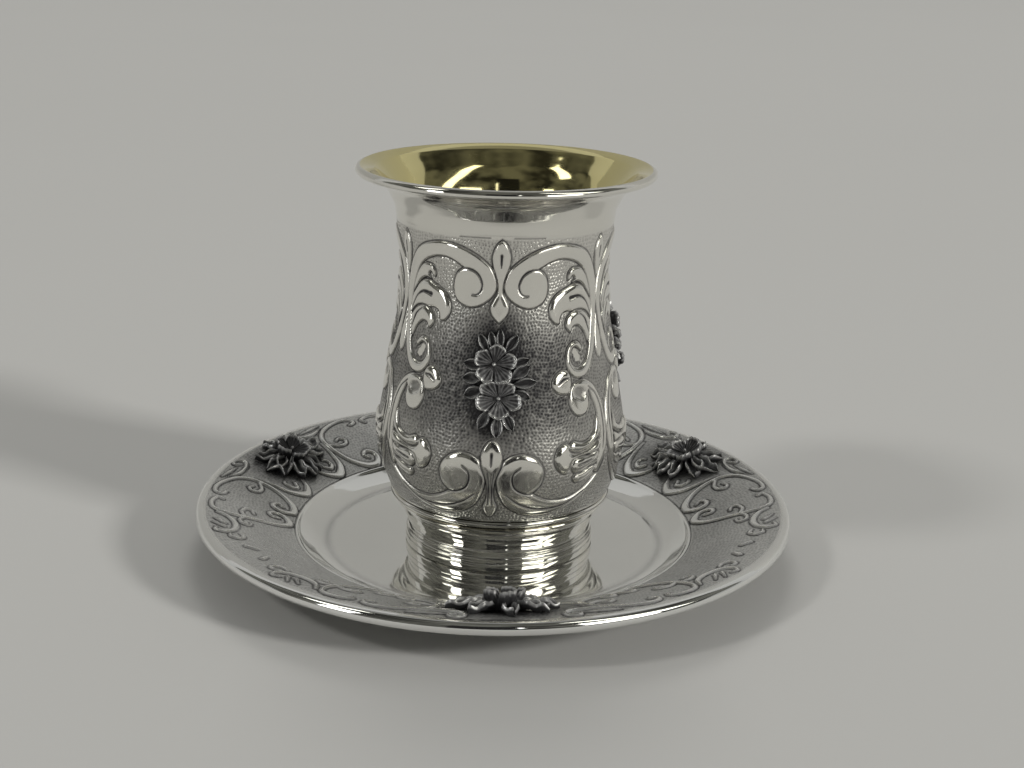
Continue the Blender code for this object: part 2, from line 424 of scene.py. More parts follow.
def measure(x: Array, y: Array, line: Array, closed: bool) -> tuple[Array, Array]:
    """Distance from points to a line.

    Args:
        x: the points' first coordinates.
        y: their second coordinates.
        line: the line's points.
        closed: whether it returns to its start.

    Returns:
        The distances, and how far along the line the nearest place lies, from 0 to 1.
    """
    ends = np.vstack([line[1:], line[:1]]) if closed else line[1:]
    starts = line if closed else line[:-1]
    best = np.full(x.shape, np.inf)
    share = np.zeros(x.shape)
    for number, (start, stop) in enumerate(zip(starts, ends)):
        dx, dy = stop - start
        square = dx * dx + dy * dy
        if square == 0:
            continue
        t = np.clip(((x - start[0]) * dx + (y - start[1]) * dy) / square, 0, 1)
        away = (x - start[0] - t * dx) ** 2 + (y - start[1] - t * dy) ** 2
        nearer = away < best
        best = np.where(nearer, away, best)
        share = np.where(nearer, (number + t) / len(starts), share)
    return np.sqrt(best), share


def inside(x: Array, y: Array, ring: Array) -> Array:
    """Whether points lie inside a closed ring, by counting crossings.

    Args:
        x: places across.
        y: places along.
        ring: its corners in order, as rows of x and y.

    Returns:
        True for places inside.
    """
    odd = np.zeros(x.shape, bool)
    for (ax, ay), (bx, by) in zip(ring, np.vstack([ring[1:], ring[:1]])):
        if ay == by:
            continue
        crosses = (ay > y) != (by > y)
        odd ^= crosses & (x < (bx - ax) * (y - ay) / (by - ay) + ax)
    return odd


@dataclass(frozen=True)
class Drawn:
    """Something drawn through points in degrees round the piece and millimetres along it.

    A point given twice is a corner.
    """

    points: tuple[Pair, ...]

    def flat(self, unroll: float) -> list[Pair]:
        """Its points in millimetres both ways, at `unroll` to a degree."""
        return [(around * unroll, along) for around, along in self.points]

    def half_width(self) -> float:
        """How far it reaches to both sides of its points."""
        return 0.0

    def reach(self, unroll: float) -> tuple[Array, Array]:
        """The corners, in millimetres, of the box round it.

        Args:
            unroll: millimetres round the piece to a degree.

        Returns:
            Its lowest and its highest coordinates.
        """
        flat = np.array(self.flat(unroll))
        return flat.min(0) - self.half_width(), flat.max(0) + self.half_width()


@dataclass(frozen=True)
class Outline(Drawn):
    """A closed shape, whose other half `mirror` adds across the middle line."""

    mirror: bool = False

    def distance(self, x: Array, y: Array, unroll: float) -> Array:
        """Signed distance in millimetres, above 0 inside.

        Args:
            x: millimetres round the piece.
            y: millimetres along it.
            unroll: millimetres to a degree.

        Returns:
            The distance of each place.
        """
        flat = self.flat(unroll)
        if self.mirror:
            flat += [(-around, along) for around, along in reversed(flat) if around != 0]
        ring = smooth_path(flat, PATH_STEP, closed=True)
        away, _ = measure(x, y, ring, True)
        return np.where(inside(x, y, ring), away, -away)


@dataclass(frozen=True)
class Stroke(Drawn):
    """A band along a path; its widths are in millimetres and spaced evenly along it."""

    widths: tuple[float, ...]

    def half_width(self) -> float:
        """Half of its greatest width."""
        return max(self.widths) / 2

    def distance(self, x: Array, y: Array, unroll: float) -> Array:
        """Signed distance in millimetres, above 0 inside.

        Args:
            x: millimetres round the piece.
            y: millimetres along it.
            unroll: millimetres to a degree.

        Returns:
            The distance of each place.
        """
        away, share = measure(x, y, smooth_path(self.flat(unroll), PATH_STEP), False)
        return np.interp(share, np.linspace(0, 1, len(self.widths)), self.widths) / 2 - away


Shape = Union[Outline, Stroke]


@dataclass(frozen=True)
class Raised:
    """Shapes that rise together as one piece of ornament, with lines engraved in it.

    `relief` is the height of its flat, `crown` how much its middle stands above that, and
    `crown_reach` how far from the edge the crown ends.
    """

    shapes: tuple[Shape, ...]
    relief: float = 0.26
    crown: float = 0.12
    crown_reach: float = 1.3
    veins: tuple[Stroke, ...] = ()
    hollows: tuple[Stroke, ...] = ()


class Relief:
    """The height and patina of chased ornament over a flat patch."""

    FAR = 9.0  # stands for any distance beyond the margin
    MARGIN = 1.5  # how far round a shape its distance is worked out
    EDGE = 0.36  # width of the slope at an ornament's edge
    BARE = (-0.42, -0.12)  # where the punched ground gives way to ornament
    LINE_DEPTH = 0.15  # of the dark line round an ornament
    VEIN_DEPTH, VEIN_DARK = 0.16, 0.95
    HOLLOW_DEPTH, HOLLOW_DARK = 0.55, 0.6

    def __init__(self, around: Array, along: Array, unroll: float, line: float = 0.23) -> None:
        """Starts a plain patch.

        Args:
            around: each point's place round the piece, in millimetres.
            along: each point's place along it.
            unroll: millimetres to a degree.
            line: how wide the dark lines round ornament spread.
        """
        self.around = around
        self.along = along
        self.unroll = unroll
        self.line = line
        self.height = np.zeros(around.shape)
        self.patina = np.zeros(around.shape)
        self.clear = np.full(around.shape, -self.FAR)

    def _signed(self, shapes: Sequence[Shape]) -> Array:
        """Signed distance to the union of shapes, -FAR where it is far.

        Args:
            shapes: the shapes.

        Returns:
            The distance of each place, above 0 inside.
        """
        found = np.full(self.around.shape, -self.FAR)
        for shape in shapes:
            low, high = shape.reach(self.unroll)
            low, high = low - self.MARGIN, high + self.MARGIN
            near = ((self.around > low[0]) & (self.around < high[0])
                    & (self.along > low[1]) & (self.along < high[1]))
            away = shape.distance(self.around[near], self.along[near], self.unroll)
            found[near] = np.maximum(found[near], away)
        return found

    def emboss(self, raised: Raised) -> None:
        """Raises one ornament over what is already there, with a dark line round it.

        Args:
            raised: the ornament.
        """
        away = self._signed(raised.shapes)
        cover = ease(away, -0.1, 0.12)
        top = raised.relief * ease(away, -0.05, self.EDGE)
        top += raised.crown * ease(away, 0, raised.crown_reach)
        line = np.exp(-(((away + 0.3 * self.line) / self.line) ** 2))
        self.height = self.height * (1 - cover) + top * cover - self.LINE_DEPTH * line
        self.patina = np.maximum(self.patina * (1 - cover), line)
        self.clear = np.maximum(self.clear, away)
        for vein in raised.veins:
            self.engrave(vein, self.VEIN_DEPTH, self.VEIN_DARK)
        for hollow in raised.hollows:
            self.sink(hollow)

    def engrave(self, stroke: Stroke, depth: float, dark: float) -> None:
        """Cuts a dark line.

        Args:
            stroke: the line.
            depth: how deep it is cut, in millimetres.
            dark: its patina.
        """
        away = self._signed([stroke])
        cut = ease(away, -0.16, 0.1)
        self.height -= depth * cut
        self.patina = np.maximum(self.patina, dark * cut)

    def sink(self, stroke: Stroke) -> None:
        """Presses a smooth hollow.

        Args:
            stroke: where the hollow runs.
        """
        away = self._signed([stroke])
        self.height -= self.HOLLOW_DEPTH * ease(away, -0.5, 1.2)
        self.patina = np.maximum(self.patina, self.HOLLOW_DARK * ease(away, -0.4, 0.8))

    def ground(self) -> Array:
        """1 on bare ground and 0 on ornament."""
        return 1 - ease(self.clear, *self.BARE)


@dataclass(frozen=True)
class Punched:
    """The ground between raised ornament: rows of small punch marks that wander a little.

    `pitch` is the distance between marks round and along the piece, `tone` the patina between
    marks and in them, and `seed` changes how they wander.
    """

    ACROSS = (12.9898, 78.233, 43758.5453)  # how the marks' own numbers are stirred
    UPWARD = (39.346, 11.135, 24634.6345)
    WANDER = 0.35  # how far a mark may stray, as a share of the pitch
    SIZE, SIZE_VARIES, TALLER = 0.40, 0.12, 0.02  # a mark's half width, and how it differs

    pitch: Pair
    depth: float
    tone: Pair
    seed: float

    def scatter(self, place: Array, line: Array, mix: Triple) -> Array:
        """A number from 0 to 1 for each mark.

        Args:
            place: the mark's number in its row.
            line: the row's number.
            mix: how strongly each number stirs the result, and how finely.

        Returns:
            The numbers, the same on each run.
        """
        stirred = np.sin(place * mix[0] + line * mix[1] + self.seed) * mix[2]
        return stirred - np.floor(stirred)

    def marks(self, around: Array, along: Array) -> Array:
        """How deep in a mark each place lies.

        Args:
            around: places round the piece, in millimetres.
            along: places along it.

        Returns:
            1 at the middle of a mark, 0 between marks.
        """
        best = np.zeros(around.shape)
        row = np.floor(along / self.pitch[1])
        for up in (-1, 0, 1):
            line = row + up
            shift = 0.5 * (line % 2) + 0.18 * np.sin(line * 2.3 + self.seed)
            column = np.floor(around / self.pitch[0] - shift)
            for step in (-1, 0, 1):
                place = column + step
                wander = self.scatter(place, line, self.ACROSS)
                other = self.scatter(place, line, self.UPWARD)
                dx = around / self.pitch[0] - shift - place - 0.5 - self.WANDER * (wander - 0.5)
                dy = along / self.pitch[1] - line - 0.5 - self.WANDER * (other - 0.5)
                wide = self.SIZE + self.SIZE_VARIES * wander
                away = np.sqrt((dx / wide) ** 2 + (dy / (wide + self.TALLER)) ** 2)
                best = np.maximum(best, 1 - away)
        return np.clip(best, 0, 1)

    def lay(self, x: Array, y: Array, ground: Array) -> tuple[Array, Array]:
        """Works out the ground.

        Args:
            x: millimetres round the piece.
            y: millimetres along it.
            ground: 1 on the ground and 0 on ornament.

        Returns:
            What to add to the height, and the ground's patina.
        """
        drift = 0.22 * np.sin(0.9 * x + self.seed) + 0.16 * np.sin(0.47 * x - 0.8 * y)
        marks = self.marks(x, y + drift)
        tone = self.tone[0] + (self.tone[1] - self.tone[0]) * marks
        return -self.depth * ground * marks, ground * tone


@dataclass(frozen=True)
class Shade:
    """A soft dark patch of painted shade, laid into the ground's patina in the middle of a panel or
    sector.

    `reach` is its half width round and along the piece, `along` where its middle lies, and
    `falloff` how abruptly it ends.
    """

    strength: float
    reach: Pair
    along: float
    falloff: float

    def at(self, x: Array, y: Array) -> Array:
        """How dark it makes each place, which is `x` from the middle line and `y` along the piece."""
        away = (x / self.reach[0]) ** 2 + ((y - self.along) / self.reach[1]) ** 2
        return self.strength * np.exp(-(away**self.falloff))


# ---------------------------------------------------------------- meshes


def grid_faces(rows: int, columns: int, closed: bool, flip: bool) -> Array:
    """Corner numbers of a grid's quads.

    Args:
        rows: points along.
        columns: points round.
        closed: whether the last column joins the first.
        flip: whether the quads face the other way.

    Returns:
        One quad a row.
    """
    wide = columns if closed else columns - 1
    i, j = np.meshgrid(np.arange(rows - 1), np.arange(wide), indexing="ij")
    k = (j + 1) % columns
    low, high = i * columns, (i + 1) * columns
    quads = np.stack([low + j, low + k, high + k, high + j], -1).reshape(-1, 4)
    return quads[:, ::-1] if flip else quads


def make_mesh(name: str, points: Array, quads: Array, normals: Optional[Array] = None,
              **attributes: Array) -> bpy.types.Object:
    """A smooth mesh object.

    Args:
        name: the object's name.
        points: its vertices, in metres.
        quads: its faces, of four corners each.
        normals: each vertex's normal, where neighbours on other pieces have a say in it.
        attributes: numbers to keep on each vertex, by name.

    Returns:
        The object, linked to the scene.
    """
    mesh = bpy.data.meshes.new(name)
    mesh.vertices.add(len(points))
    mesh.vertices.foreach_set("co", points.astype(np.float32).ravel())
    mesh.loops.add(quads.size)
    mesh.loops.foreach_set("vertex_index", quads.astype(np.int32).ravel())
    mesh.polygons.add(len(quads))
    mesh.polygons.foreach_set("loop_start", np.arange(0, quads.size, 4, dtype=np.int32))
    mesh.polygons.foreach_set("use_smooth", np.ones(len(quads), bool))
    mesh.update(calc_edges=True)
    mesh.validate()
    for key, values in attributes.items():
        kept = mesh.attributes.new(key, "FLOAT", "POINT")
        kept.data.foreach_set("value", values.astype(np.float32).ravel())
    if normals is not None:
        mesh.normals_split_custom_set_from_vertices(normals.tolist())
    made = bpy.data.objects.new(name, mesh)
    bpy.context.scene.collection.objects.link(made)
    return made


def turn(name: str, profile: Array, segments: int, axis: Pair, base: float,
         dark: Union[Array, float] = 0.0) -> bpy.types.Object:
    """A turned piece.

    Args:
        name: the object's name.
        profile: (radius, height) points that run from the inside over the top and down the outside.
        segments: points round.
        axis: the axis's x and y.
        base: the height that the profile's heights start from.
        dark: patina of each of the profile's points.

    Returns:
        The object.
    """
    angle = np.arange(segments) * 2 * math.pi / segments
    radius, level = profile[:, :1], profile[:, 1:]
    points = np.stack([axis[0] + radius * np.sin(angle), axis[1] - radius * np.cos(angle),
                       base + level + 0 * angle], -1).reshape(-1, 3) * MM
    made = make_mesh(name, points, grid_faces(len(profile), segments, True, True),
                     patina=np.repeat(np.broadcast_to(dark, len(profile)), segments))
    weld(made)
    return made


def weld(piece: bpy.types.Object) -> None:
    """Joins points that coincide, as where a turned profile meets its axis.

    Args:
        piece: the mesh to weld.
    """
    shape = bmesh.new()
    shape.from_mesh(piece.data)
    bmesh.ops.remove_doubles(shape, verts=shape.verts, dist=WELD_WITHIN)
    shape.to_mesh(piece.data)
    shape.free()


@dataclass(frozen=True)
class Surface:
    """A turned surface that flat ornament is wrapped on.

    `places` rise along the piece, and each has a radius and a level. The cup's places are its
    heights and its ornament faces outward; the flange's are its radii and it faces up, which
    `facing` says, 1 and -1. `unroll` is millimetres to a degree, and `turn` is in degrees.
    """

    places: Array
    radii: Array
    levels: Array
    unroll: float
    axis: Pair
    base: float
    turn: float
    facing: int = 1

    def at(self, around: Array, along: Array, height: Array) -> Array:
        """World points, in metres, of flat places raised by a height from the surface.

        Args:
            around: millimetres round the piece.
            along: millimetres along it.
            height: millimetres away from the surface.

        Returns:
            The points, with x, y and z last.
        """
        step = 0.25
        radius = np.interp(along, self.places, self.radii)
        level = np.interp(along, self.places, self.levels)
        ahead, behind = along + step, along - step
        run = np.interp(ahead, self.places, self.radii) - np.interp(behind, self.places, self.radii)
        rise = np.interp(ahead, self.places, self.levels) - np.interp(behind, self.places, self.levels)
        size = np.hypot(run, rise) * self.facing
        out_r, out_z = rise / size, -run / size
        angle = np.radians(around / self.unroll + self.turn)
        r = radius + out_r * height
        return np.stack([self.axis[0] + r * np.sin(angle), self.axis[1] - r * np.cos(angle),
                         self.base + level + out_z * height], -1) * MM


def arc(centre: Pair, radii: Pair, angles: Pair, count: int) -> list[Pair]:
    """Points on an arc of an ellipse.

    Args:
        centre: its middle.
        radii: its half width and half height.
        angles: where it starts and ends, in degrees from the right, counter-clockwise.
        count: how many points.

    Returns:
        The points in order.
    """
    return [(centre[0] + radii[0] * math.cos(t), centre[1] + radii[1] * math.sin(t))
            for t in np.radians(np.linspace(*angles, count))]


def normals_of(points: Array, flip: bool) -> Array:
    """Normals of a grid of points, from the differences between neighbours.

    Args:
        points: the grid, with x, y and z along the last axis.
        flip: whether the normals point the other way.

    Returns:
        A unit normal for each point.
    """
    across = np.gradient(points, axis=1)
    up = np.gradient(points, axis=0)
    found = np.cross(across, up)
    found /= np.linalg.norm(found, axis=-1, keepdims=True)
    return -found if flip else found


def dress(piece: bpy.types.Object, material: bpy.types.Material, slot: str,
          *nodes: str) -> bpy.types.Object:
    """Puts a material on a piece and ties it to the frame.

    Args:
        piece: the piece.
        material: its material.
        slot: the record's material slot; not used.
        nodes: the solids that it stands for.

    Returns:
        The piece.
    """
    piece.data.materials.append(material)
    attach(piece, "root")
    if nodes:
        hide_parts(*nodes)
    log.info("%s: %d faces", piece.name, len(piece.data.polygons))
    return piece


# ---------------------------------------------------------------- the cup


def mirrored_relief(half: Relief) -> tuple[Array, ...]:
    """Height, patina and bare ground of a whole patch, from its right half."""
    parts = (half.height, half.patina, half.ground())
    return tuple(np.concatenate([part[:, :0:-1], part], 1) for part in parts)


@dataclass
class CupBody:
    """The beaker: a turned wall with a rolled lip, and three chased panels.

    `turn` is where the front panel's middle stands. Above `upright` the ornament drifts round by
    `lean` millimetres for each millimetre, and below it the other way. `outside` and `flare`, the
    inside near the lip, are rows of height and radius.
    """

    axis: Pair
    base: float
    rim: float
    top: float
    wall: float = 1.0
    bead: float = 1.0
    segments: int = 180
    unroll: float = math.radians(1) * 26.0  # ornament keeps its shape at this radius
    turn: float = -2.2
    lean: float = 0.025
    upright: float = 58.0
    floor: float = 12.6
    panel_low: float = 13.7
    panel_high: float = 78.4
    tuck: float = 0.5  # how far the panels reach under the neck, and by what depth
    tuck_depth: float = 0.06
    rows: int = 306
    columns: int = 138
    corner: Pair = (9.0, 5.2)  # of the floor: how far it reaches in and up
    base_bead: Pair = (25.05, 12.75)  # radius and height of its middle
    base_bead_radius: float = 0.75
    underside: Pair = (24.0, 11.6)  # radius and height of the flat under the bowl
    sunk: float = 0.3  # how far the plain wall lies below the panels
    gilt_edge: float = 0.35  # how far below the top of the lip the gilding ends
    ground_ends: Pair = (76.7, 77.3)  # where the punched ground fades out below the neck
    neck_line: Stroke = Stroke(((6.0, 77.4), (21.5, 77.3)), (0.25, 0.3))
    lighter_near_neck: Pair = (62.0, 75.0)  # from where to where the ground gets brighter, and how much
    lighter_near_neck_by: float = 0.32
    punched: Punched = Punched((0.80, 0.74), 0.165, (0.29, 0.80), 3.1)
    # partly oxidised ground, partly painted reflection of the dark room in front, darkest in the
    # panel's middle
    oxide_and_room_reflection: Shade = Shade(0.76, (30.0, 15.5), 45.0, 1.8)
    # painted shadow round the flowers in the panel's middle, over oxidised ground
    flower_shadow_and_oxide: Shade = Shade(1.10, (9.6, 15.5), 46.5, 1.7)
    outside: tuple[Pair, ...] = (
        (86.75, 31.3), (86.15, 29.75), (85.2, 28.05), (83.9, 26.85), (82, 25.8), (80.2, 25),
        (78.5, 24.7), (75.5, 24.35), (72, 24), (68, 23.6), (63, 23.63), (57, 24.15), (50, 25.35),
        (43, 26.4), (37, 27.5), (31, 28.55), (26.5, 28.72), (22, 28.2), (18, 27.2), (15, 26.15),
        (13.6, 25.5))
    flare: tuple[Pair, ...] = (
        (78, 23.8), (80.2, 24.3), (82, 24.95), (83.9, 26), (85.2, 27), (86.2, 27.85), (87.4, 28.85),
        (88.2, 29.6))
    surface: Surface = field(init=False)

    def __post_init__(self) -> None:
        """Works out the outside surface from its rows."""
        radii, places = smooth_path([(r, z) for z, r in self.outside], 0.3)[::-1].T
        self.surface = Surface(places, radii, places, self.unroll, self.axis, self.base, self.turn)

    def profile(self) -> Array:
        """The turned wall's line, from the middle of the floor up the inside and down the outside.

        Returns:
            Radius and height of each point.
        """
        r, z = self.surface.radii, self.surface.places
        inner = [(radius - self.wall, level + 0.25) for radius, level in zip(r[::5], z[::5])
                 if self.floor + 5 < level < 76.0]
        inner += [(place, level) for level, place in smooth_path(self.flare, 0.5)]
        deep, high = self.corner
        corner = [(inner[0][0] - deep + deep * math.sin(t), self.floor + high - high * math.cos(t))
                  for t in np.linspace(0, 1.35, 10)]
        lip = arc((self.rim - self.bead, self.top - self.bead), (self.bead, self.bead), (118, -115), 20)
        edge = self.panel_high - self.tuck
        levels = np.concatenate([np.linspace(z[-1], edge, 32), np.linspace(edge - 0.4, z[0], 12)])
        outer = list(zip(np.interp(levels, z, r) - np.where(levels < edge, self.sunk, 0.0), levels))
        bead = arc(self.base_bead, (self.base_bead_radius, self.base_bead_radius), (75, -80), 12)
        under = [self.underside, (0.0, self.underside[1])]
        return np.array([(0.0, self.floor)] + corner + inner + lip + outer + bead + under)

    def upper_ornaments(self) -> list[Raised]:
        """The chased ornament of the upper half of half a panel, lowest layer first.

        Returns:
            The ornaments in order.
        """
        side = Outline(((60, 76.6), (60, 76.6), (57.4, 75.4), (55.9, 73), (57, 70.2), (58.6, 68.2),
            (60, 66.8), (61.4, 68.2), (63, 70.2), (64.1, 73), (62.6, 75.4)))
        first = Outline(((37, 67.5), (36.9, 69), (38.7, 70.1), (42.5, 70.3), (47, 69.8), (51.5, 68),
            (55, 64.2), (56.5, 60), (53, 62.6), (48.5, 65.8), (43.5, 67), (40, 66.8), (41.6, 67.8),
            (40, 68.4), (38.5, 67.6)))
        second = Outline(((36.5, 65.9), (31.5, 65), (28, 63.6), (26.3, 61.6), (26.9, 59.7),
            (29.3, 58.3), (32.5, 58.1), (32.9, 59.1), (34.4, 60.3), (37.5, 60.7), (42, 60.4),
            (47, 60.2), (52, 57.5), (56, 56), (56, 61), (52, 63.8), (47.5, 65.9), (42, 66.6)))
        third = Outline(((39.4, 60.1), (36.5, 58.8), (36.5, 57.1), (39.3, 55.9), (41.2, 57.1), (45, 57),
            (49, 55.2), (52.5, 51.8), (55.5, 54), (54.5, 57.5), (50, 60), (44, 60.7)))
        band = Outline(((44, 45.7), (48.2, 46.2), (51.6, 47.9), (54.2, 50.2), (56.4, 52.6),
            (58.2, 55.4), (59.5, 58.4), (60, 61.4), (59.9, 64.2), (58.8, 66.9), (56.6, 69.3),
            (53.2, 71.4), (49.4, 73.2), (45, 74.4), (39, 75.3), (32, 75.8), (25, 75.6), (18.5, 74.8),
            (12.8, 73.6), (8.3, 72.2), (4.8, 70.7), (2.5, 68.9), (1.7, 67), (2.7, 65.3), (5.8, 63.6),
            (10.3, 62.3), (15.4, 61.8), (20.4, 62.4), (23.8, 63.6), (25.3, 65.5), (25, 67.6),
            (23.2, 69.4), (19.8, 70.5), (19.8, 70.5), (25, 71.8), (31, 72.4), (37.5, 72), (43.5, 70.8),
            (48.5, 68.8), (52, 66.3), (54.3, 63.2), (54.8, 60), (53.6, 56.6), (51.6, 53.2),
            (49.6, 50.6), (47.2, 49), (44, 48.2), (40.8, 48.5), (38.8, 49.7), (38.4, 51.2),
            (39.9, 52.4), (42.6, 52.6), (45.4, 51.6), (46.4, 52.5), (43.6, 53.9), (39.6, 53.8),
            (36.6, 52.6), (35.5, 50.8), (36.2, 48.4), (39.4, 46.4)))
        wedge = Outline(((60, 60.8), (60, 60.8), (61.4, 57), (62.8, 53.4), (62.6, 50.4), (60, 48.8),
            (57.4, 50.4), (57.2, 53.4), (58.6, 57)))
        crest = Outline(((0, 77), (0, 77), (2.8, 75.9), (4.7, 73.6), (4.5, 71.4), (3, 69.4),
            (1.7, 67.4), (1.6, 65.4), (3.2, 64), (4.9, 62.4), (4.3, 60.8), (2.2, 59.5), (0, 58.6),
            (0, 58.6)), mirror=True)
        return [
            Raised((side,), veins=(Stroke(((60, 73.8), (60, 71.4)), (0.5, 0.3)),)),
            Raised((first,), crown=0.2),
            Raised((second,), crown=0.25, veins=(Stroke(((38.8, 63.6), (44.5, 63.8), (49.6, 62.4),
                (53.2, 59.6)), (0.9, 0.6, 0.3, 0.2)),)),
            Raised((third,), crown=0.25, veins=(Stroke(((45, 60), (49.2, 58.4), (51.8, 55.4)),
                (0.2, 0.5, 0.2)),)),
            Raised((band,), hollows=(Stroke(((41.8, 51.6), (43.6, 50.2)), (2, 2.4)),),
                veins=(Stroke(((19.6, 70.4), (15, 70.3), (11.4, 69.2), (9.5, 67.2), (10.2, 65.6),
                (12.2, 64.8), (14.6, 64.8)), (0.3, 0.45, 0.45, 0.4, 0.2)),)),
            Raised((wedge,), 0.2, 0.1),
            Raised((crest,), veins=(Stroke(((0, 73.6), (0, 71.3)), (0.7, 0.35)),))]

    def lower_ornaments(self) -> list[Raised]:
        """The chased ornament of the lower half of half a panel, lowest layer first.

        Returns:
            The ornaments in order.
        """
        bottom = Outline(((2.2, 25.5), (3.8, 28.2), (8, 30.1), (13.2, 30.7), (18.6, 29.9), (22.5, 27.9),
            (23.8, 25.4), (22.4, 22.9), (19.2, 21.2), (19.2, 21.2), (24, 19.8), (30, 18.9),
            (37.5, 18.9), (45, 20.3), (52, 23.2), (56.5, 26.5), (58.5, 26.5), (54.5, 22.6),
            (47.5, 19.2), (40.5, 17.2), (34, 15.9), (27, 15.2), (19, 15.3), (12.5, 16.2), (7, 18.2),
            (4, 20.8), (2.6, 23.3)))
        small = Outline(((38.2, 23.6), (40.5, 24.8), (45, 25.1), (50, 26.5), (52, 25), (48.5, 23.4),
            (44.5, 22.5), (40.4, 22.3)))
        finger = Outline(((37, 26.6), (38.8, 28.1), (42.5, 28.4), (47.5, 28.3), (52.5, 28.8),
            (53, 26.3), (47, 25.6), (42, 24.7), (38.3, 25)))
        lobe = Outline(((28.2, 29.2), (29.8, 31.2), (33, 32.2), (36, 31.6), (36.4, 30.2), (40, 29.5),
            (46, 29.8), (50.5, 30.8), (54, 31.2), (53.5, 28.2), (47.5, 28.6), (41.5, 28.5),
            (38.2, 27.6), (37, 25.8), (34.5, 24.9), (31, 25.7), (28.8, 27.3)))
        upper = Outline(((35.4, 31.2), (37.6, 32.4), (42.5, 31.7), (47, 32.1), (50.5, 33.5),
            (52.6, 36.5), (55, 36), (54, 32.5), (50.5, 31), (46, 30), (40.5, 29.6), (36.5, 30.1)))
        bud = Outline(((37.5, 47.3), (34, 48.2), (30.6, 47.7), (28, 46.3), (27.5, 44.9), (29.2, 43.5),
            (33, 42.7), (37.5, 42.8), (38.5, 45)))
        band = Outline(((42, 45.1), (47, 45.3), (52.5, 43.8), (56.5, 41.2), (59, 38), (59.8, 34.2),
            (59.4, 30.2), (57.2, 26.4), (53.5, 23.5), (51.3, 24.3), (52.8, 27), (54, 31), (54.1, 35),
            (53, 38.4), (50.8, 41), (49.3, 42.6), (48.6, 41.6), (48.8, 39.7), (46.5, 37.9),
            (42.6, 37.4), (38.7, 38.3), (36.6, 40.7), (36.8, 43), (38.9, 44.6)))
        root = Outline(((0, 33.7), (2.7, 32.9), (4.7, 30.6), (4.5, 28), (2.6, 25.4), (1.5, 22.4),
            (1.9, 19.8), (3.3, 17.8), (2.2, 16), (0, 15)), mirror=True)
        return [
            Raised((bottom,), crown=0.22, veins=(Stroke(((19.4, 21.2), (15, 21.5), (11, 22.7),
                (9.5, 24.6), (10, 26.4), (12.6, 27.6)), (0.3, 0.45, 0.45, 0.25)), Stroke(((7, 21.2),
                (14, 18.6), (24, 17.2), (36, 17.6), (46, 19.9)), (0.2, 0.4, 0.35, 0.2)))),
            Raised((small,), crown=0.3),
            Raised((lobe,), 0.3, 0.35),
            Raised((finger,), crown=0.3, veins=(Stroke(((40.5, 26.7), (44.5, 27), (49, 27.4)),
                (0.4, 0.4, 0.2)),)),
            Raised((upper,), crown=0.3),
            Raised((bud,), crown=0.25, veins=(Stroke(((36.8, 46.2), (33.5, 46), (30.8, 45.1)),
                (0.25, 0.7, 0.25)),)),
            Raised((band,), hollows=(Stroke(((42, 42.8), (44.2, 42.4)), (2.6, 2.8)),),
                veins=(Stroke(((48.6, 43.6), (53.2, 41.6), (56.3, 38.2), (57.1, 34), (56, 29)),
                (0.2, 0.35, 0.35, 0.2)),)),
            Raised((root,), veins=(Stroke(((0, 30.6), (0, 28.2)), (0.6, 0.3)), Stroke(((1.3, 26.4),
                (0.7, 22.6), (0.9, 18.6)), (0.2, 0.35, 0.2))))]

    def panel_relief(self) -> tuple[Array, ...]:
        """Flat places, height, and patina with painted shade, of a whole panel.

        Returns:
            Millimetres round and along, height, and patina with painted shade, all as grids.
        """
        half = np.linspace(0, 60, self.columns + 1) * self.unroll
        along = np.linspace(self.panel_low, self.panel_high, self.rows + 1)
        relief = Relief(*np.meshgrid(half, along), self.unroll)
        for raised in self.lower_ornaments() + self.upper_ornaments():
            relief.emboss(raised)
        relief.engrave(self.neck_line, 0.06, 0.7)
        height, patina, ground = mirrored_relief(relief)
        x, y = np.meshgrid(np.concatenate([-half[:0:-1], half]), along)
        ground = ground * ease(y, self.panel_low + 0.2, self.panel_low + 0.8)
        ground *= 1 - ease(y, *self.ground_ends)
        dent, tone = self.punched.lay(x, y, ground)
        # the ground gets lighter towards the neck
        tone *= 1 - self.lighter_near_neck_by * ease(y, *self.lighter_near_neck)
        # painted shade: the dark room's reflection over the middle and the flowers' shadow round them
        # darken the ground's patina
        tone += ground * np.maximum(self.oxide_and_room_reflection.at(x, y), self.flower_shadow_and_oxide.at(x, y)) * (1 - 0.85 * tone)
        return x, y, height + dent, np.maximum(patina, tone)

    def panel(self, side: Side, flat: tuple[Array, ...]) -> bpy.types.Object:
        """One chased panel, whose upper edge tucks under the polished neck.

        Args:
            side: which panel.
            flat: what panel_relief gave.

        Returns:
            The panel's mesh.
        """
        x, y, height, patina = flat
        step = x[0, 1] - x[0, 0]
        shifted = x + side.shift(self.unroll) + self.lean * (y - self.upright)
        wide_x = np.concatenate([shifted[:, :1] - step, shifted, shifted[:, -1:] + step], 1)
        wide_y = np.concatenate([y[:, :1], y, y[:, -1:]], 1)
        wide_height = np.concatenate([height[:, -2:-1], height, height[:, 1:2]], 1)
        normals = normals_of(self.surface.at(wide_x, wide_y, wide_height), False)[:, 1:-1]
        tucked = height - self.tuck_depth * ease(y, self.panel_high - self.tuck - 0.1, self.panel_high)
        points = self.surface.at(shifted, y, tucked)
        return make_mesh(f"cup_panel_{side.label}", points.reshape(-1, 3),
                         grid_faces(*x.shape, False, False), normals.reshape(-1, 3), patina=patina)

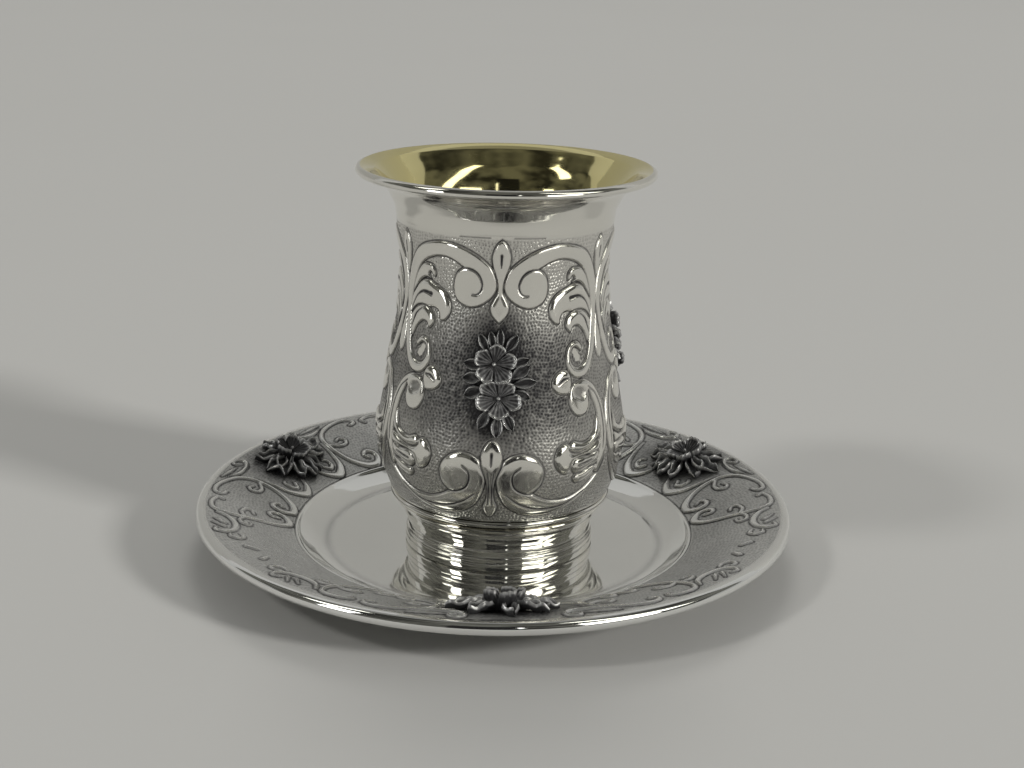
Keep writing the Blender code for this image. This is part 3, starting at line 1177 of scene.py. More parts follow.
    def gild(self, wall: bpy.types.Object) -> None:
        """Gives the inside of the bowl, up to the rolled lip, the wall's second material.

        Args:
            wall: the turned wall.
        """
        limit = (self.base + self.top - self.gilt_edge) * MM
        lowest = (self.base + self.floor - 0.3) * MM
        centre = Vector((self.axis[0] * MM, self.axis[1] * MM, 0))
        for face in wall.data.polygons:
            out = Vector((face.center.x - centre.x, face.center.y - centre.y, 0))
            inward = face.normal.dot(out) < 0
            level = face.normal.z > 0.9 and face.center.z < limit
            if face.center.z > lowest and (inward or level):
                face.material_index = 1

    def build(self) -> None:
        """Builds the wall and the panels."""
        chased = Silver("chased_silver", waviness=0.035 * MM, wave_scale=140.0, film=0.11).material()
        wall = turn("cup_wall", self.profile(), self.segments, self.axis, self.base)
        dress(wall, Silver("polished_body", roughness=0.06).material(), "chased_silver", "cup_body")
        wall.data.materials.append(Gilt().material())
        self.gild(wall)
        flat = self.panel_relief()
        for side in Side:
            dress(self.panel(side, flat), chased, "chased_silver")


@dataclass
class CupFoot:
    """The reeded ring under the bowl: a cove, then reeds that spread towards the saucer.

    `spread` is rows of height and radius, and `cove` rows of radius and depth below the top.
    """

    axis: Pair
    base: float
    height: float = 11.2
    hollow: Pair = (20.2, 20.0)  # radius of the hollow at its mouth and under the bowl
    bulge: float = 0.036  # of a reed, as a share of its height
    crease: float = 0.07
    # painted shade in the creases between the reeds
    crease_shade: float = 0.5
    drop: float = 0.28  # how far the ring reaches below the solid's underside, towards the well
    segments: int = 180
    reeds: tuple[Pair, ...] = ((0.0, 1.7), (1.7, 3.4), (3.4, 5.0), (5.0, 7.1), (7.1, 9.2))
    cove: tuple[Pair, ...] = ((23.6, 0.0), (24.25, 0.25), (24.3, 0.7), (23.7, 1.25), (22.9, 1.7))
    spread: tuple[Pair, ...] = (
        (0, 22.2), (1.5, 22.2), (3, 22), (3.8, 21.75), (5.6, 21.6), (7, 21.75), (7.2, 22.5),
        (9.2, 22.6))

    def profile(self) -> tuple[Array, Array]:
        """Outline from inside the hollow, over the top and down the reeds.

        Returns:
            Radius and height of each point, and its darkening: painted shade in the creases.
        """
        hollow = [(self.hollow[0], -self.drop), (self.hollow[0], 7.0), (self.hollow[1], self.height)]
        cove = smooth_path([(radius, self.height - depth) for radius, depth in self.cove], 0.25)
        heights, radii = np.array(self.spread).T
        rows = hollow + [tuple(row) for row in cove]
        dark = [0.0] * len(rows)
        for low, high in reversed(self.reeds):
            rows.append((np.interp(high, heights, radii) - self.crease, high))
            share = np.linspace(1, 0, 8)
            levels = low + 0.1 + (high - low - 0.2) * share
            swell = self.bulge * (high - low) * 4 * share * (1 - share)
            rows += list(zip(np.interp(levels, heights, radii) + swell, levels))
            # the crease rows get painted shade
            dark += [self.crease_shade] + [0.0] * len(share)
        rows.append((self.spread[0][1] - 0.5, -self.drop))
        return np.array(rows), np.array(dark + [self.crease_shade])

    def build(self) -> None:
        """Builds the ring, with sharp creases between the reeds."""
        rows, dark = self.profile()
        ring = turn("cup_foot_ring", np.vstack([rows, rows[:1]]), self.segments, self.axis, self.base,
                    np.append(dark, 0.0))
        ring.data.set_sharp_from_angle(angle=math.radians(24))
        bright = Silver("polished_foot", roughness=0.05, waviness=0.0025 * MM)
        dress(ring, bright.material(), "polished_silver", "cup_foot")


# ---------------------------------------------------------------- the saucer


@dataclass
class Saucer:
    """The dish: a polished well, a matte chased flange and a rolled rim.

    `turn` is where the front spray stands, and `chased_turn` where the middle of the front
    sector's ornament does. `top` and `inner`, the well's side, are rows of radius and height.
    """

    axis: Pair
    base: float
    radius: float
    well: float = 1.2
    sheet: float = 1.1
    turn: float = 3.3
    chased_turn: float = 4.4
    unroll: float = math.radians(1) * 58.0  # ornament keeps its shape at this radius
    flange_low: float = 46.9
    flange_high: float = 68.1
    rows: int = 76
    columns: int = 210
    segments: int = 240
    top: tuple[Pair, ...] = (
        (47, 3.1), (49.5, 4.25), (52, 5.3), (55, 6.6), (58, 7.75), (61, 8.75), (64, 9.6), (66.5, 10.15),
        (68.3, 10.4))
    inner: tuple[Pair, ...] = (
        (37.6, 0), (38.6, -0.04), (39.6, -0.12), (40.4, -0.04), (41.3, 0.16), (42.8, 0.6), (44.8, 1.6),
        (46, 2.35), (46.35, 2.75), (46.7, 3.1), (47.1, 3.1))
    roll_centre: Pair = (68.6, 8.8)
    roll_radii: Pair = (1.4, 1.5)
    sunk: float = 0.25  # how far the plain sheet lies below the chased flange
    groove: Pair = (39.6, 0.9)  # radius and half width of the dark line round the well
    groove_dark: float = 0.30
    ground_ends: Pair = (67.5, 67.9)  # where the punched ground fades out inside the rim
    well_line: Stroke = Stroke(((-1.0, 47.25), (61.0, 47.25)), (0.3, 0.3))
    punched: Punched = Punched((0.86, 0.78), 0.09, (0.41, 0.80), 8.4)
    # painted shadow round each spray on the flange, over oxidised ground
    flower_shadow_and_oxide: Shade = Shade(1.0, (11.8, 8.2), 58.8, 1.5)

    def surface(self, turn: float) -> Surface:
        """The flange's upper surface, with its ornament turned by an angle."""
        places, levels = smooth_path(self.top, 0.3).T
        return Surface(places, places, levels, self.unroll, self.axis, self.base + self.well, turn, -1)

    def profile(self) -> Array:
        """From the middle over the top to the rim, and back across the underside.

        Returns:
            Radius and height of each point.
        """
        inner = smooth_path(self.inner, 0.4)
        r, z = smooth_path(self.top, 0.3).T
        sunk = self.sunk * ease(r, self.flange_low, self.flange_low + 0.3)
        sunk *= 1 - ease(r, self.flange_high - 0.3, self.flange_high)
        kept = [i for i in range(1, len(r)) if i % 8 == 0 or i < 4 or i > len(r) - 5]
        flange = [(r[i], z[i] - sunk[i]) for i in kept]
        roll = arc(self.roll_centre, self.roll_radii, (84, -120), 24)
        under = [(r[i] + 0.3, z[i] - self.sheet) for i in range(len(r) - 6, 0, -6)]
        under += [(43.5, 0.1), (41.0, -0.7), (38.6, -self.well), (0.0, -self.well)]
        return np.vstack([[(0.0, 0.0), (20.0, 0.0)], inner, flange, roll, under])

    def ornaments(self) -> list[Raised]:
        """The flange's ornament for half a sector, lowest layer first.

        Returns:
            The ornaments in order.
        """
        near = Stroke(((26.2, 63.8), (27.6, 64.7), (26.8, 66.2), (24, 66.5), (20.7, 65.4), (17.4, 63.3),
            (15.5, 60), (15.6, 55.5), (17.3, 51.4), (20.7, 48.6), (24.4, 48.3), (26.2, 50.2),
            (25.8, 52.3), (23.8, 53), (22.5, 51.9), (23.4, 50.7)), (1.1, 1.2, 1.3, 1.3, 1.5, 1.9, 2,
            1.4, 1))
        far = Stroke(((30.4, 63.9), (29.9, 65.2), (32.2, 66.3), (35.5, 65.9), (37.3, 63.6),
            (37.8, 59.5), (37.1, 53.8), (35.2, 49.9), (32.4, 48.4), (29.6, 49.4), (28.7, 51.5),
            (29.8, 53.1), (31.6, 52.6), (31.4, 51)), (1, 1.2, 1.3, 1.3, 1.5, 1.9, 1.9, 1.4, 1))
        crescent = Stroke(((3.9, 52), (5.6, 49.8), (9.2, 48.5), (12.6, 51), (13.8, 55.5), (14.3, 59.8)),
            (0.8, 1.8, 2.4, 1.7, 1.1, 0.7))
        bud = Stroke(((7.2, 52.4), (8.6, 51.2), (10.2, 52), (10.2, 53.8), (9, 54.4)), (1.1, 1.3, 1.3,
            1.1, 0.8))
        comma = Stroke(((10.4, 65.4), (11.6, 66.2), (10.8, 67.4), (9.2, 66.9), (9, 65), (11.2, 63.8),
            (14.8, 63.8), (18.4, 65.2)), (0.8, 0.9, 1.2, 1.2, 1.1, 0.8))
        leaf = Stroke(((12.6, 65.6), (15.4, 66), (18.8, 66.8)), (0.5, 1.1, 0.6))
        hook = Stroke(((15.9, 58.2), (18.2, 57), (20.6, 57.3), (21.3, 58.6), (20, 59.6), (18.6, 59)),
            (1, 1.1, 1.1, 0.8))
        curl = Stroke(((37.3, 58.6), (34.9, 59.4), (32.6, 58.6), (32.7, 57.1), (34.4, 56.6)), (1, 1.1,
            1.1, 0.8))
        outer = Stroke(((38, 58.8), (39.8, 60), (42, 59.6), (42.4, 58.2), (40.6, 57.5)), (0.8, 1.1, 1.1,
            0.8))
        tail = Stroke(((37.9, 65), (40, 62.4), (43.5, 61.3), (47, 62.5), (48.5, 64.9), (47.6, 66.7),
            (46.2, 66.2)), (0.9, 1.3, 1.7, 1.5, 1.2, 0.8))
        fronds = (Stroke(((41.4, 65.9), (43.8, 63.8)), (0.5, 1.1)), Stroke(((43.6, 66.6), (45.6, 64.3)),
            (0.5, 1.1)))
        spiral = Stroke(((48.8, 61.4), (50.6, 61.1), (51.9, 62.5), (51.2, 64.1), (49.6, 63.9)),
            (0.8, 1.2, 1.2, 0.8))
        seed = Stroke(((56.4, 62.5), (57.6, 60.9)), (1.5, 1.3))
        thin = dict(relief=0.32, crown=0.07, crown_reach=0.7)
        round_top = dict(relief=0.3, crown=0.35, crown_reach=0.7)
        return [
            Raised((crescent, bud), **thin),
            Raised((leaf,), **thin),
            Raised((comma,), **round_top),
            Raised((near, hook), **thin),
            Raised((far, curl, outer), **thin),
            Raised((tail, *fronds), **thin),
            Raised((spiral,), **thin),
            Raised((seed,), **thin)]

    def flange(self) -> bpy.types.Object:
        """The chased top of the flange.

        Returns:
            The flange's mesh.
        """
        half = np.linspace(0, 60, self.columns + 1) * self.unroll
        along = np.linspace(self.flange_low, self.flange_high, self.rows + 1)
        relief = Relief(*np.meshgrid(half, along), self.unroll, 0.33)
        for raised in self.ornaments():
            relief.emboss(raised)
        relief.engrave(self.well_line, 0.10, 0.95)
        whole = mirrored_relief(relief)
        height, patina, ground = (np.tile(part[:, :-1], (1, len(Side))) for part in whole)
        around = (np.arange(height.shape[1]) / height.shape[1] * 360 - 60) * self.unroll
        x, y = np.meshgrid(around, along)
        ground = ground * ease(y, self.flange_low + 0.3, self.flange_low + 0.8)
        ground *= 1 - ease(y, *self.ground_ends)
        dent, tone = self.punched.lay(x, y, ground)
        sector = 360 / len(Side)
        degrees_off = (x / self.unroll + sector / 2) % sector - sector / 2
        # painted shadow round each spray darkens the ground's patina
        tone += self.flower_shadow_and_oxide.at(degrees_off, y) * ground * (0.92 - 0.85 * tone)
        points = self.surface(self.chased_turn).at(x, y, height + dent)
        normals = normals_of(np.concatenate([points[:, -1:], points, points[:, :1]], 1), True)[:, 1:-1]
        return make_mesh("saucer_flange", points.reshape(-1, 3), grid_faces(*x.shape, True, True),
                         normals.reshape(-1, 3), patina=np.maximum(patina, tone))

    def build(self) -> None:
        """Builds the dish and its flange."""
        rows = self.profile()
        away = (rows[:, 0] - self.groove[0]) / self.groove[1]
        dark = self.groove_dark * np.exp(-(away**2)) * (rows[:, 1] > -0.5)
        dish = turn("saucer_dish", rows, self.segments, self.axis, self.base + self.well, dark)
        bright = Silver("polished_dish", colour=(0.93, 0.93, 0.91), roughness=0.05)
        dress(dish, bright.material(), "saucer_silver", "saucer")
        matte = Silver("matte_flange", colour=(0.87, 0.87, 0.845), roughness=0.16, dull=0.46)
        dress(self.flange(), matte.material(), "saucer_silver")


# ---------------------------------------------------------------- cast flowers


PETAL_MIDDLE = 0.62  # where a petal's middle lies, as a share of the flower's radius
PETAL_BEYOND = 0.405  # how far it reaches beyond its middle
HEART = 0.13  # radius of the boss in the flower's middle


def five(size: float, turn: float) -> tuple[Pair, ...]:
    """The middles of five even petals round a heart.

    Args:
        size: the flower's radius in millimetres.
        turn: the first petal's angle in degrees, from straight up.

    Returns:
        Places relative to the heart.
    """
    angles = [math.radians(turn + 72 * number) for number in range(5)]
    away = PETAL_MIDDLE * size
    return tuple((away * math.sin(angle), away * math.cos(angle)) for angle in angles)


@dataclass(frozen=True)
class Blossom:
    """One five-petalled flower, in flat millimetres from the panel's centre line.

    `middles` are the middles of its petals, from its heart.
    """

    around: float
    along: float
    size: float
    rise: float
    middles: tuple[Pair, ...]


@dataclass(frozen=True)
class Leaf:
    """One pointed leaf, from root to tip.

    `droop` lowers its tip, `bow` curves it sideways as a share of its length, and `ruffle` waves
    its edges.
    """

    root: Pair
    tip: Pair
    width: float
    rise: float = 1.5
    droop: float = 0.0
    bow: float = 0.0
    ruffle: float = 0.0


@dataclass
class Spray:
    """One casting of blossoms and leaves.

    `slip` moves it round the piece by millimetres, and `proud` scales its height.
    """

    name: str
    surface: Surface
    side: Side
    node: str
    blossoms: tuple[Blossom, ...]
    leaves: tuple[Leaf, ...]
    slip: float = 0.0
    proud: float = 1.0
    points: list[Array] = field(default_factory=list)
    quads: list[Array] = field(default_factory=list)
    patina: list[Array] = field(default_factory=list)

    def add(self, x: Array, y: Array, h: Array, dark: Array, closed: bool) -> None:
        """Adds one gridded part, given flat.

        Args:
            x: millimetres to the side of the middle.
            y: millimetres along the piece.
            h: millimetres above the surface.
            dark: patina.
            closed: whether the last column meets the first.
        """
        start = sum(len(part) for part in self.points)
        shift = self.side.shift(self.surface.unroll) + self.slip
        self.points.append(self.surface.at(x + shift, y, h * self.proud).reshape(-1, 3))
        self.quads.append(grid_faces(*x.shape, closed, self.surface.facing > 0) + start)
        self.patina.append(np.clip(dark, 0, 1).ravel())

    def add_round(self, flower: Blossom, angle: Array, away: Array, h: Array, dark: Array) -> None:
        """Adds a part given by angle and distance from a blossom's heart; see add."""
        x, y = flower.around + away * np.sin(angle), flower.along + away * np.cos(angle)
        self.add(x, y, h, dark, True)

    def corolla(self, flower: Blossom) -> None:
        """Adds a blossom's petals: thin rims, creases that fan out, and an undercut below.

        Args:
            flower: the blossom.
        """
        # rings from the heart to the rim, the last two folded back below it
        rings = [0, 0.15, 0.3, 0.44, 0.57, 0.68, 0.77, 0.84, 0.89, 0.93, 0.97, 1, 0.97, 0.6]
        t, s = np.meshgrid(np.linspace(0, 2 * math.pi, 130, endpoint=False), rings)
        # petals in order round the heart, and where each place lies across the nearest one, -1 to 1
        middles = sorted(flower.middles, key=lambda middle: math.atan2(*middle))
        headings = np.array([math.atan2(*middle) for middle in middles])
        lengths = np.array([math.hypot(*middle) for middle in middles]) + PETAL_BEYOND * flower.size
        gaps = (np.roll(headings, -1) - headings) % (2 * math.pi)
        away = (t[..., None] - headings + math.pi) % (2 * math.pi) - math.pi
        across = np.where(away > 0, away / (gaps / 2), away / (np.roll(gaps, 1) / 2))
        nearest = np.abs(across).argmin(-1)
        across = np.take_along_axis(across, nearest[..., None], -1)[..., 0]
        notch = np.exp(-(((1 - np.abs(across)) / 0.13) ** 2))
        reach = lengths[nearest] * (1 - 0.27 * np.abs(across) ** 2.6)
        reach *= 1 + 0.025 * np.sin(11 * t + flower.along)
        ripple = np.cos(2 * math.pi * 2.5 * across)
        rim = np.exp(-(((s - 0.93) / 0.055) ** 2))
        h = flower.rise * (0.46 + 0.40 * s**1.4 * (1 - 0.20 * across**2) + 0.09 * rim
                           + 0.06 * across * s + 0.05 * ripple * s * (1 - 0.6 * s) - 0.24 * notch * s)
        h[-3] -= 0.10 * flower.rise
        h[-2] -= 0.30 * flower.rise
        h[-1] = 0.05
        dark = 0.97 - 0.92 * rim * (1 - notch) - 0.34 * np.clip(ripple, 0, 1) * s + 0.2 * notch
        dark[-2:] = 1.0
        self.add_round(flower, t, s * reach, h, dark)

    def heart(self, flower: Blossom) -> None:
        """Adds the small boss in the middle of a blossom.

        Args:
            flower: the blossom.
        """
        t, s = np.meshgrid(np.linspace(0, 2 * math.pi, 14, endpoint=False), np.linspace(0, 1, 6))
        h = flower.rise * (0.40 + 0.34 * np.sqrt(np.clip(1 - s**2, 0, 1)))
        self.add_round(flower, t, s * (HEART * flower.size), h, 1.3 * s - 0.3)

    def leaf(self, leaf: Leaf) -> None:
        """Adds one hollow leaf: a thin blade with raised rims and a fine vein.

        Args:
            leaf: the leaf.
        """
        rim_side = [0.62, 0.70, 0.78, 0.86, 0.94, 1.0]
        right = [0.12, 0.35, *rim_side, 0.6]
        across = np.array([-w for w in reversed(right)] + [0.0] + right)
        w, s = np.meshgrid(across, np.linspace(0, 1, 20))
        (x0, y0), (x1, y1) = leaf.root, leaf.tip
        length = math.hypot(x1 - x0, y1 - y0)
        ux, uy = (x1 - x0) / length, (y1 - y0) / length
        wave = leaf.ruffle * np.sin(15.0 * s + 5.0 * leaf.tip[0] + 1.2 * np.sign(w))
        half = leaf.width / 2 * np.sin(math.pi * np.clip(s, 0.05, 0.99) ** 1.2) ** 0.75
        half *= 1 + 0.5 * wave
        bow = leaf.bow * length * np.sin(math.pi * s)
        x = x0 + ux * length * s - uy * (half * w + bow)
        y = y0 + uy * length * s + ux * (half * w + bow)
        rim = np.exp(-(((np.abs(w) - 0.80) / 0.15) ** 2))
        h = leaf.rise * (0.42 + 0.50 * rim + 0.16 * np.exp(-((w / 0.10) ** 2)))
        h *= 0.72 + 0.28 * s - leaf.droop * s**2 + wave * np.abs(w) * s
        h[:, [0, -1]] = np.maximum(h[:, [1, -2]] - 0.9, 0.05)
        dark = 1.0 - rim
        dark[:, [0, -1]] = 1.0
        self.add(x, y, h, dark, False)

    def build(self, material: bpy.types.Material) -> None:
        """Builds the casting.

        Args:
            material: its finish.
        """
        for leaf in self.leaves:
            self.leaf(leaf)
        for flower in self.blossoms:
            self.corolla(flower)
            self.heart(flower)
        made = make_mesh(self.name, np.vstack(self.points), np.vstack(self.quads),
                         patina=np.concatenate(self.patina))
        weld(made)
        dress(made, material, "oxidised_silver", self.node)


CUP_BLOSSOMS = (
    Blossom(-0.7, 50.2, 4.2, 2.7, ((0.8, 2.6), (-2.3, 1.2), (3, 0.8), (-1.7, -2.1), (2, -2.3))),
    Blossom(0.4, 42.9, 4.2, 2.9, ((-2.2, 1.8), (1.5, 2.2), (-2.9, -0.8), (2.9, -0.7), (0.2, -2.8))),
)
CUP_LEAVES = (
    Leaf((-2, 52.4), (-4.2, 56.4), 2.2),
    Leaf((-0.9, 53), (-1.7, 57.1), 1.9),
    Leaf((0.5, 53), (0.5, 57.7), 1.9),
    Leaf((1.6, 52.6), (4.4, 56.3), 2.3),
    Leaf((2.8, 49.8), (6.8, 51.2), 2.3),
    Leaf((2.8, 47), (6.9, 49.9), 2.9),
    Leaf((3.2, 45.8), (8.3, 46.3), 2.5),
    Leaf((3.4, 44.4), (6.8, 42.7), 2.4),
    Leaf((-2.8, 49.5), (-7.3, 50.1), 2.7),
    Leaf((-2.8, 47.2), (-7.4, 46.8), 2.8),
    Leaf((-2.8, 44.8), (-6.8, 43), 3),
    Leaf((-1.4, 40.4), (-3.5, 36.2), 2.4),
    Leaf((0.3, 39.2), (0.1, 34.4), 2.6),
    Leaf((1.5, 40), (3.3, 36), 2.5),
)
FLANGE_BLOSSOMS = (
    Blossom(-0.6, 59.2, 4.3, 5, five(4.3, 12)),
)
FLANGE_LEAVES = (
    Leaf((-2, 59.8), (-12.2, 60.6), 4.2, 4.2, 0.7, 0.1, 0.24),
    Leaf((1.2, 59.8), (10.6, 59.4), 3.6, 4, 0.65, -0.12, 0.24),
    Leaf((-2, 58.2), (-10, 55.6), 4.4, 4.2, 0.7, -0.1, 0.2),
    Leaf((1.2, 58.2), (8.8, 55.2), 4, 4.2, 0.65, 0.12, 0.24),
    Leaf((-1.6, 60.6), (-7.4, 64.8), 3.4, 3.8, 0.6, 0.1, 0.2),
    Leaf((1, 60.8), (7.6, 64), 3.2, 3.8, 0.6, -0.12, 0.24),
    Leaf((-0.8, 57.4), (-3.8, 51.6), 3.2, 4.2, 0.6, -0.1, 0.16),
    Leaf((0.6, 57.4), (4.6, 51.8), 3.4, 4.2, 0.6, 0.1, 0.2),
    Leaf((-0.2, 57), (0.4, 50.6), 3.6, 4.4, 0.55, 0.04, 0.12),
    Leaf((0.2, 62), (0.9, 66.4), 3.2, 3.4, 0.45, 0.06, 0.16),
)


# ---------------------------------------------------------------- the studio


def only_reflected(piece: bpy.types.Object) -> None:
    """Hides a studio piece from everything but reflections.

    Args:
        piece: the studio piece.
    """
    piece.visible_camera = False
    piece.visible_diffuse = False
    piece.visible_shadow = False


def directions(azimuths: Union[Array, float], heights: Union[Array, float]) -> Array:
    """Unit directions from the cup.

    Args:
        azimuths: degrees from the front towards +X.
        heights: degrees above the horizon.

    Returns:
        The directions, with x, y and z along the last axis.
    """
    a, b = np.radians(azimuths), np.radians(heights)
    return np.stack([np.sin(a) * np.cos(b), -np.cos(a) * np.cos(b), np.sin(b)], -1)


@dataclass(frozen=True)
class Screen:
    """A piece of a sphere round the cup, seen only in reflections.

    Azimuths run from the front towards +X and heights up from the horizon, in degrees. `slant`
    moves it sideways by degrees for each degree that it rises. `radius` is in metres.
    """

    name: str
    sides: Pair
    heights: Pair
    colour: Colour
    radius: float = 1.2
    slant: float = 0.0
    dimmer: float = 0.75
    step: float = 4.0
    centre: float = 0.05  # height of the sphere's middle, in metres

    def build(self) -> None:
        """Builds the screen."""
        across = np.linspace(*self.sides, 2 + int((self.sides[1] - self.sides[0]) / self.step))
        up = np.linspace(*self.heights, 2 + int((self.heights[1] - self.heights[0]) / self.step))
        a, b = np.meshgrid(across, up)
        points = self.radius * directions(a + self.slant * (b - self.heights[0]), b)
        points[..., 2] += self.centre
        made = make_mesh(self.name, points.reshape(-1, 3), grid_faces(*a.shape, False, True))
        made.data.materials.append(Glow(self.name, self.colour, self.dimmer).material())
        only_reflected(made)


@dataclass(frozen=True)
class Room:
    """The dim room in front, seen only in reflections.

    It is a tilted cap of a sphere, `half_angle` from its middle to its edge, with a bright round
    opening above. `radius` is in metres.
    """

    colour: Colour = (0.12, 0.12, 0.105)
    half_angle: float = 77.7
    tilt: float = 38.0
    opening: float = 122.0
    opening_half: float = 30.0
    radius: float = 1.25
    dimmer: float = 0.15

    def build(self) -> None:
        """Builds the cap."""
        ring = np.linspace(0, 2 * math.pi, 96, endpoint=False)
        gap, sky = math.radians(self.opening - self.tilt), math.cos(math.radians(self.opening_half))
        near, side = math.cos(gap), math.sin(gap) * np.clip(np.sin(ring), 0, 1)
        length = np.hypot(near, side)
        edge = np.arctan2(side, near) - np.arccos(np.clip(sky / length, -1, 1))
        edge = np.minimum(np.where(length > sky, edge, math.pi), math.radians(self.half_angle))
        away = np.linspace(0.01, 1, 30)[:, None] * edge
        points = np.stack([np.sin(away) * np.cos(ring), -np.cos(away), np.sin(away) * np.sin(ring)], -1)
        points = points.reshape(-1, 3) @ np.array(Matrix.Rotation(-math.radians(self.tilt), 3, "X")).T
        made = make_mesh("room", self.radius * points, grid_faces(*away.shape, True, False))
        made.data.materials.append(Glow("room", self.colour, self.dimmer).material())
        only_reflected(made)


SCREENS = (
    Screen("window_right", (29, 55), (-1, 22), (4.0, 3.95, 3.7), radius=0.3),
    Screen("window_left", (-56, -44), (-1, 22), (4.0, 4.0, 3.9), radius=0.3),
    Screen("canopy", (118, 242), (56, 89), (0.24, 0.24, 0.23), radius=1.3, dimmer=0.9),
    Screen("streak", (64, 77), (16, 64), (2.6, 2.6, 2.3), slant=-0.5),
    Screen("blob", (-82, -67), (38, 60), (3.2, 3.2, 2.9)),
    Screen("room_end_right", (84, 100), (10, 40), Room.colour, radius=1.24, slant=0.2),
    Screen("room_end_left", (-104, -84), (10, 40), Room.colour, radius=1.24, slant=-0.2),
    Screen("lamp_strip", (9.5, 11.5), (12, 26), (2.4, 2.4, 2.3)),
    Screen("figure", (-15, 12), (-12, 58), (0.012, 0.012, 0.012), radius=1.22),
)


@dataclass(frozen=True)
class Lamp:
    """A soft light that faces the cup and isn't reflected.

    `azimuth` is its direction from the cup in degrees from the front, and `height` its angle
    above the horizon. Its `size`, and how far `away` it stands, are in metres.
    """

    name: str
    azimuth: float
    height: float
    size: Pair
    watts: float
    away: float = 9.0
    colour: Colour = (1.0, 0.98, 0.95)

    def build(self) -> None:
        """Builds the light."""
        data = bpy.data.lights.new(self.name, "AREA")
        data.shape = "RECTANGLE"
        data.size, data.size_y = self.size
        data.energy = self.watts
        data.color = self.colour
        lamp = bpy.data.objects.new(self.name, data)
        toward = Vector(directions(self.azimuth, self.height))
        turned = toward.to_track_quat("Z", "Y").to_matrix().to_4x4()
        lamp.matrix_world = Matrix.Translation(toward * self.away) @ turned
        lamp.visible_camera = False
        lamp.visible_glossy = False
        bpy.context.scene.collection.objects.link(lamp)


LAMPS = (
    Lamp("lamp_right", 62, 24, (1.2, 1.2), 560.0),
    Lamp("lamp_left", -66, 40, (1.2, 1.2), 188.0),
    Lamp("lamp_back", 180, 50, (3.0, 3.0), 171.0),
)


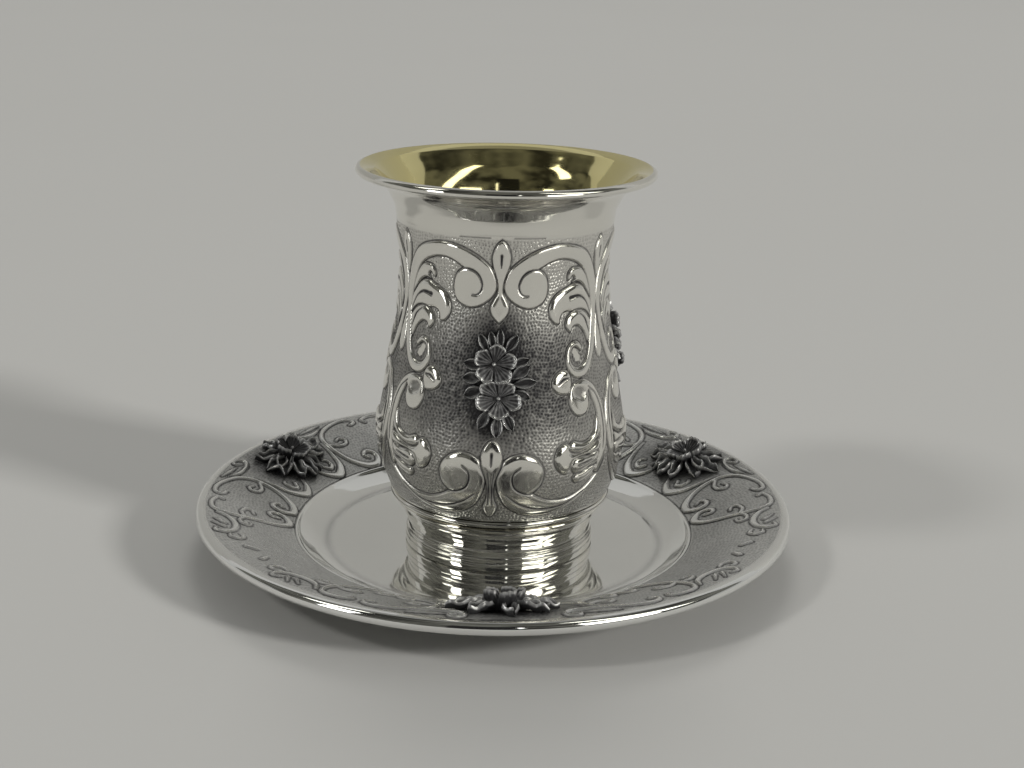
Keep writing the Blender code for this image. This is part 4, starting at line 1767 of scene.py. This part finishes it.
@dataclass
class Studio:
    """Camera, pale floor, soft lights, and the room that the metal reflects."""

    pale: Colour = (0.455, 0.455, 0.442)
    eye: Triple = (1.536, -344.54, 146.49)
    turned_radians: Triple = (0.3023, 0.0062, 0.0244)  # down, right, counter-clockwise
    lens: float = 54.35
    floor: tuple[Pair, ...] = ((-2.0, 0.0), (0.0, 0.0), (2.0, 0.0), (7.0, 0.0))  # metres
    tent: Colour = (1.0, 1.0, 0.97)
    tent_level: Pair = (0.355, 0.2)  # to the side, and how much more behind

    def camera(self) -> None:
        """Places the camera in front of the cup, a little above it, looking down."""
        pitch, yaw, roll = self.turned_radians
        flat = math.cos(pitch)
        ahead = Vector((math.sin(yaw) * flat, math.cos(yaw) * flat, -math.sin(pitch)))
        level = Vector((math.cos(yaw), -math.sin(yaw), 0))
        above = level.cross(ahead)
        right = math.cos(roll) * level + math.sin(roll) * above
        up = -math.sin(roll) * level + math.cos(roll) * above
        data = bpy.data.cameras.new("camera")
        data.lens = self.lens
        data.sensor_width = 36
        data.clip_start = 0.01
        camera = bpy.data.objects.new("camera", data)
        turned = Matrix((right, up, -ahead)).transposed()
        camera.matrix_world = Matrix.Translation(Vector(self.eye) * MM) @ turned.to_4x4()
        bpy.context.scene.collection.objects.link(camera)
        bpy.context.scene.camera = camera

    def sheet(self, name: str, line: Sequence[Pair], width: float) -> bpy.types.Object:
        """A pale surface, level from left to right.

        Args:
            name: its name.
            line: (depth, height) of its outline from the side, in metres.
            width: half its width, in metres.

        Returns:
            The surface.
        """
        x = np.linspace(-width, width, 9)
        points = np.array([[(a, y, z) for a in x] for y, z in line]).reshape(-1, 3)
        made = make_mesh(name, points, grid_faces(len(line), len(x), False, False))
        made.data.materials.append(Card(name, self.pale).material())
        return made

    def surroundings(self) -> None:
        """Pale light from all round, brighter behind."""
        world = bpy.data.worlds.new("tent")
        world.use_nodes = True
        nodes = Nodes(world.node_tree)
        facing = nodes.node("ShaderNodeTexCoord").outputs["Generated"]
        behind = Value(nodes.tree, nodes.node("ShaderNodeSeparateXYZ", {}, {0: facing}).outputs["Y"])
        background = nodes.tree.nodes["Background"]
        nodes.feed(background.inputs["Strength"], behind * self.tent_level[1] + self.tent_level[0])
        nodes.feed(background.inputs["Color"], (*self.tent, 1))
        bpy.context.scene.world = world
        bpy.context.scene.view_settings.view_transform = "Standard"

    def build(self) -> None:
        """Builds the studio."""
        self.camera()
        self.sheet("floor", self.floor, 6.0).visible_glossy = False
        bend = [(0.65 + 0.5 * math.sin(t), 0.5001 - 0.5 * math.cos(t))
                for t in np.linspace(0.05, 1.5, 24)]
        table = [(-0.8, 0.0001), (0.65, 0.0001), *bend, (1.16, 1.2)]
        only_reflected(self.sheet("table", table, 2.4))
        self.surroundings()
        for lamp in LAMPS:
            lamp.build()
        Room().build()
        for screen in SCREENS:
            screen.build()


def middle(low: Vector, high: Vector) -> Pair:
    """Where the upright axis through the middle of a box stands."""
    return (low.x + high.x) / 2, (low.y + high.y) / 2


def main() -> None:
    """Builds the pieces in order."""
    logging.basicConfig(level=logging.INFO)
    body_low, body_high = (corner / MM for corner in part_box("cup_body"))
    foot_low, _ = (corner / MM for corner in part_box("cup_foot"))
    dish_low, dish_high = (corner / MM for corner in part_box("saucer"))
    cup_axis = middle(body_low, body_high)

    Studio().build()
    cup = CupBody(cup_axis, foot_low.z, (body_high.x - body_low.x) / 2, body_high.z - foot_low.z)
    cup.build()
    CupFoot(cup_axis, foot_low.z).build()
    saucer = Saucer(middle(dish_low, dish_high), dish_low.z, (dish_high.x - dish_low.x) / 2)
    saucer.build()
    flange = saucer.surface(saucer.turn)
    cast = Silver("oxidised_silver", colour=(0.80, 0.80, 0.80), roughness=0.20, dull=0.40)
    deep = Silver("oxidised_saucer", colour=(0.84, 0.84, 0.84), tarnish=(0.042, 0.042, 0.044),
                  roughness=0.22, dull=0.40, film=0.25)
    on_cup, on_saucer = cast.material(), deep.material()
    for side in Side:
        slip, proud = (-1.9, 1.28) if side is Side.RIGHT else (0.0, 1.0)
        Spray(f"cup_flowers_{side.label}", cup.surface, side, f"cup_spray_{side.label}",
              CUP_BLOSSOMS, CUP_LEAVES, slip, proud).build(on_cup)
        Spray(f"saucer_flowers_{side.label}", flange, side, f"saucer_spray_{side.label}",
              FLANGE_BLOSSOMS, FLANGE_LEAVES).build(on_saucer)
    faces = sum(len(piece.data.polygons) for piece in bpy.context.scene.objects if piece.type == "MESH")
    log.info("%d faces in all", faces)


if __name__ == "__main__":
    main()
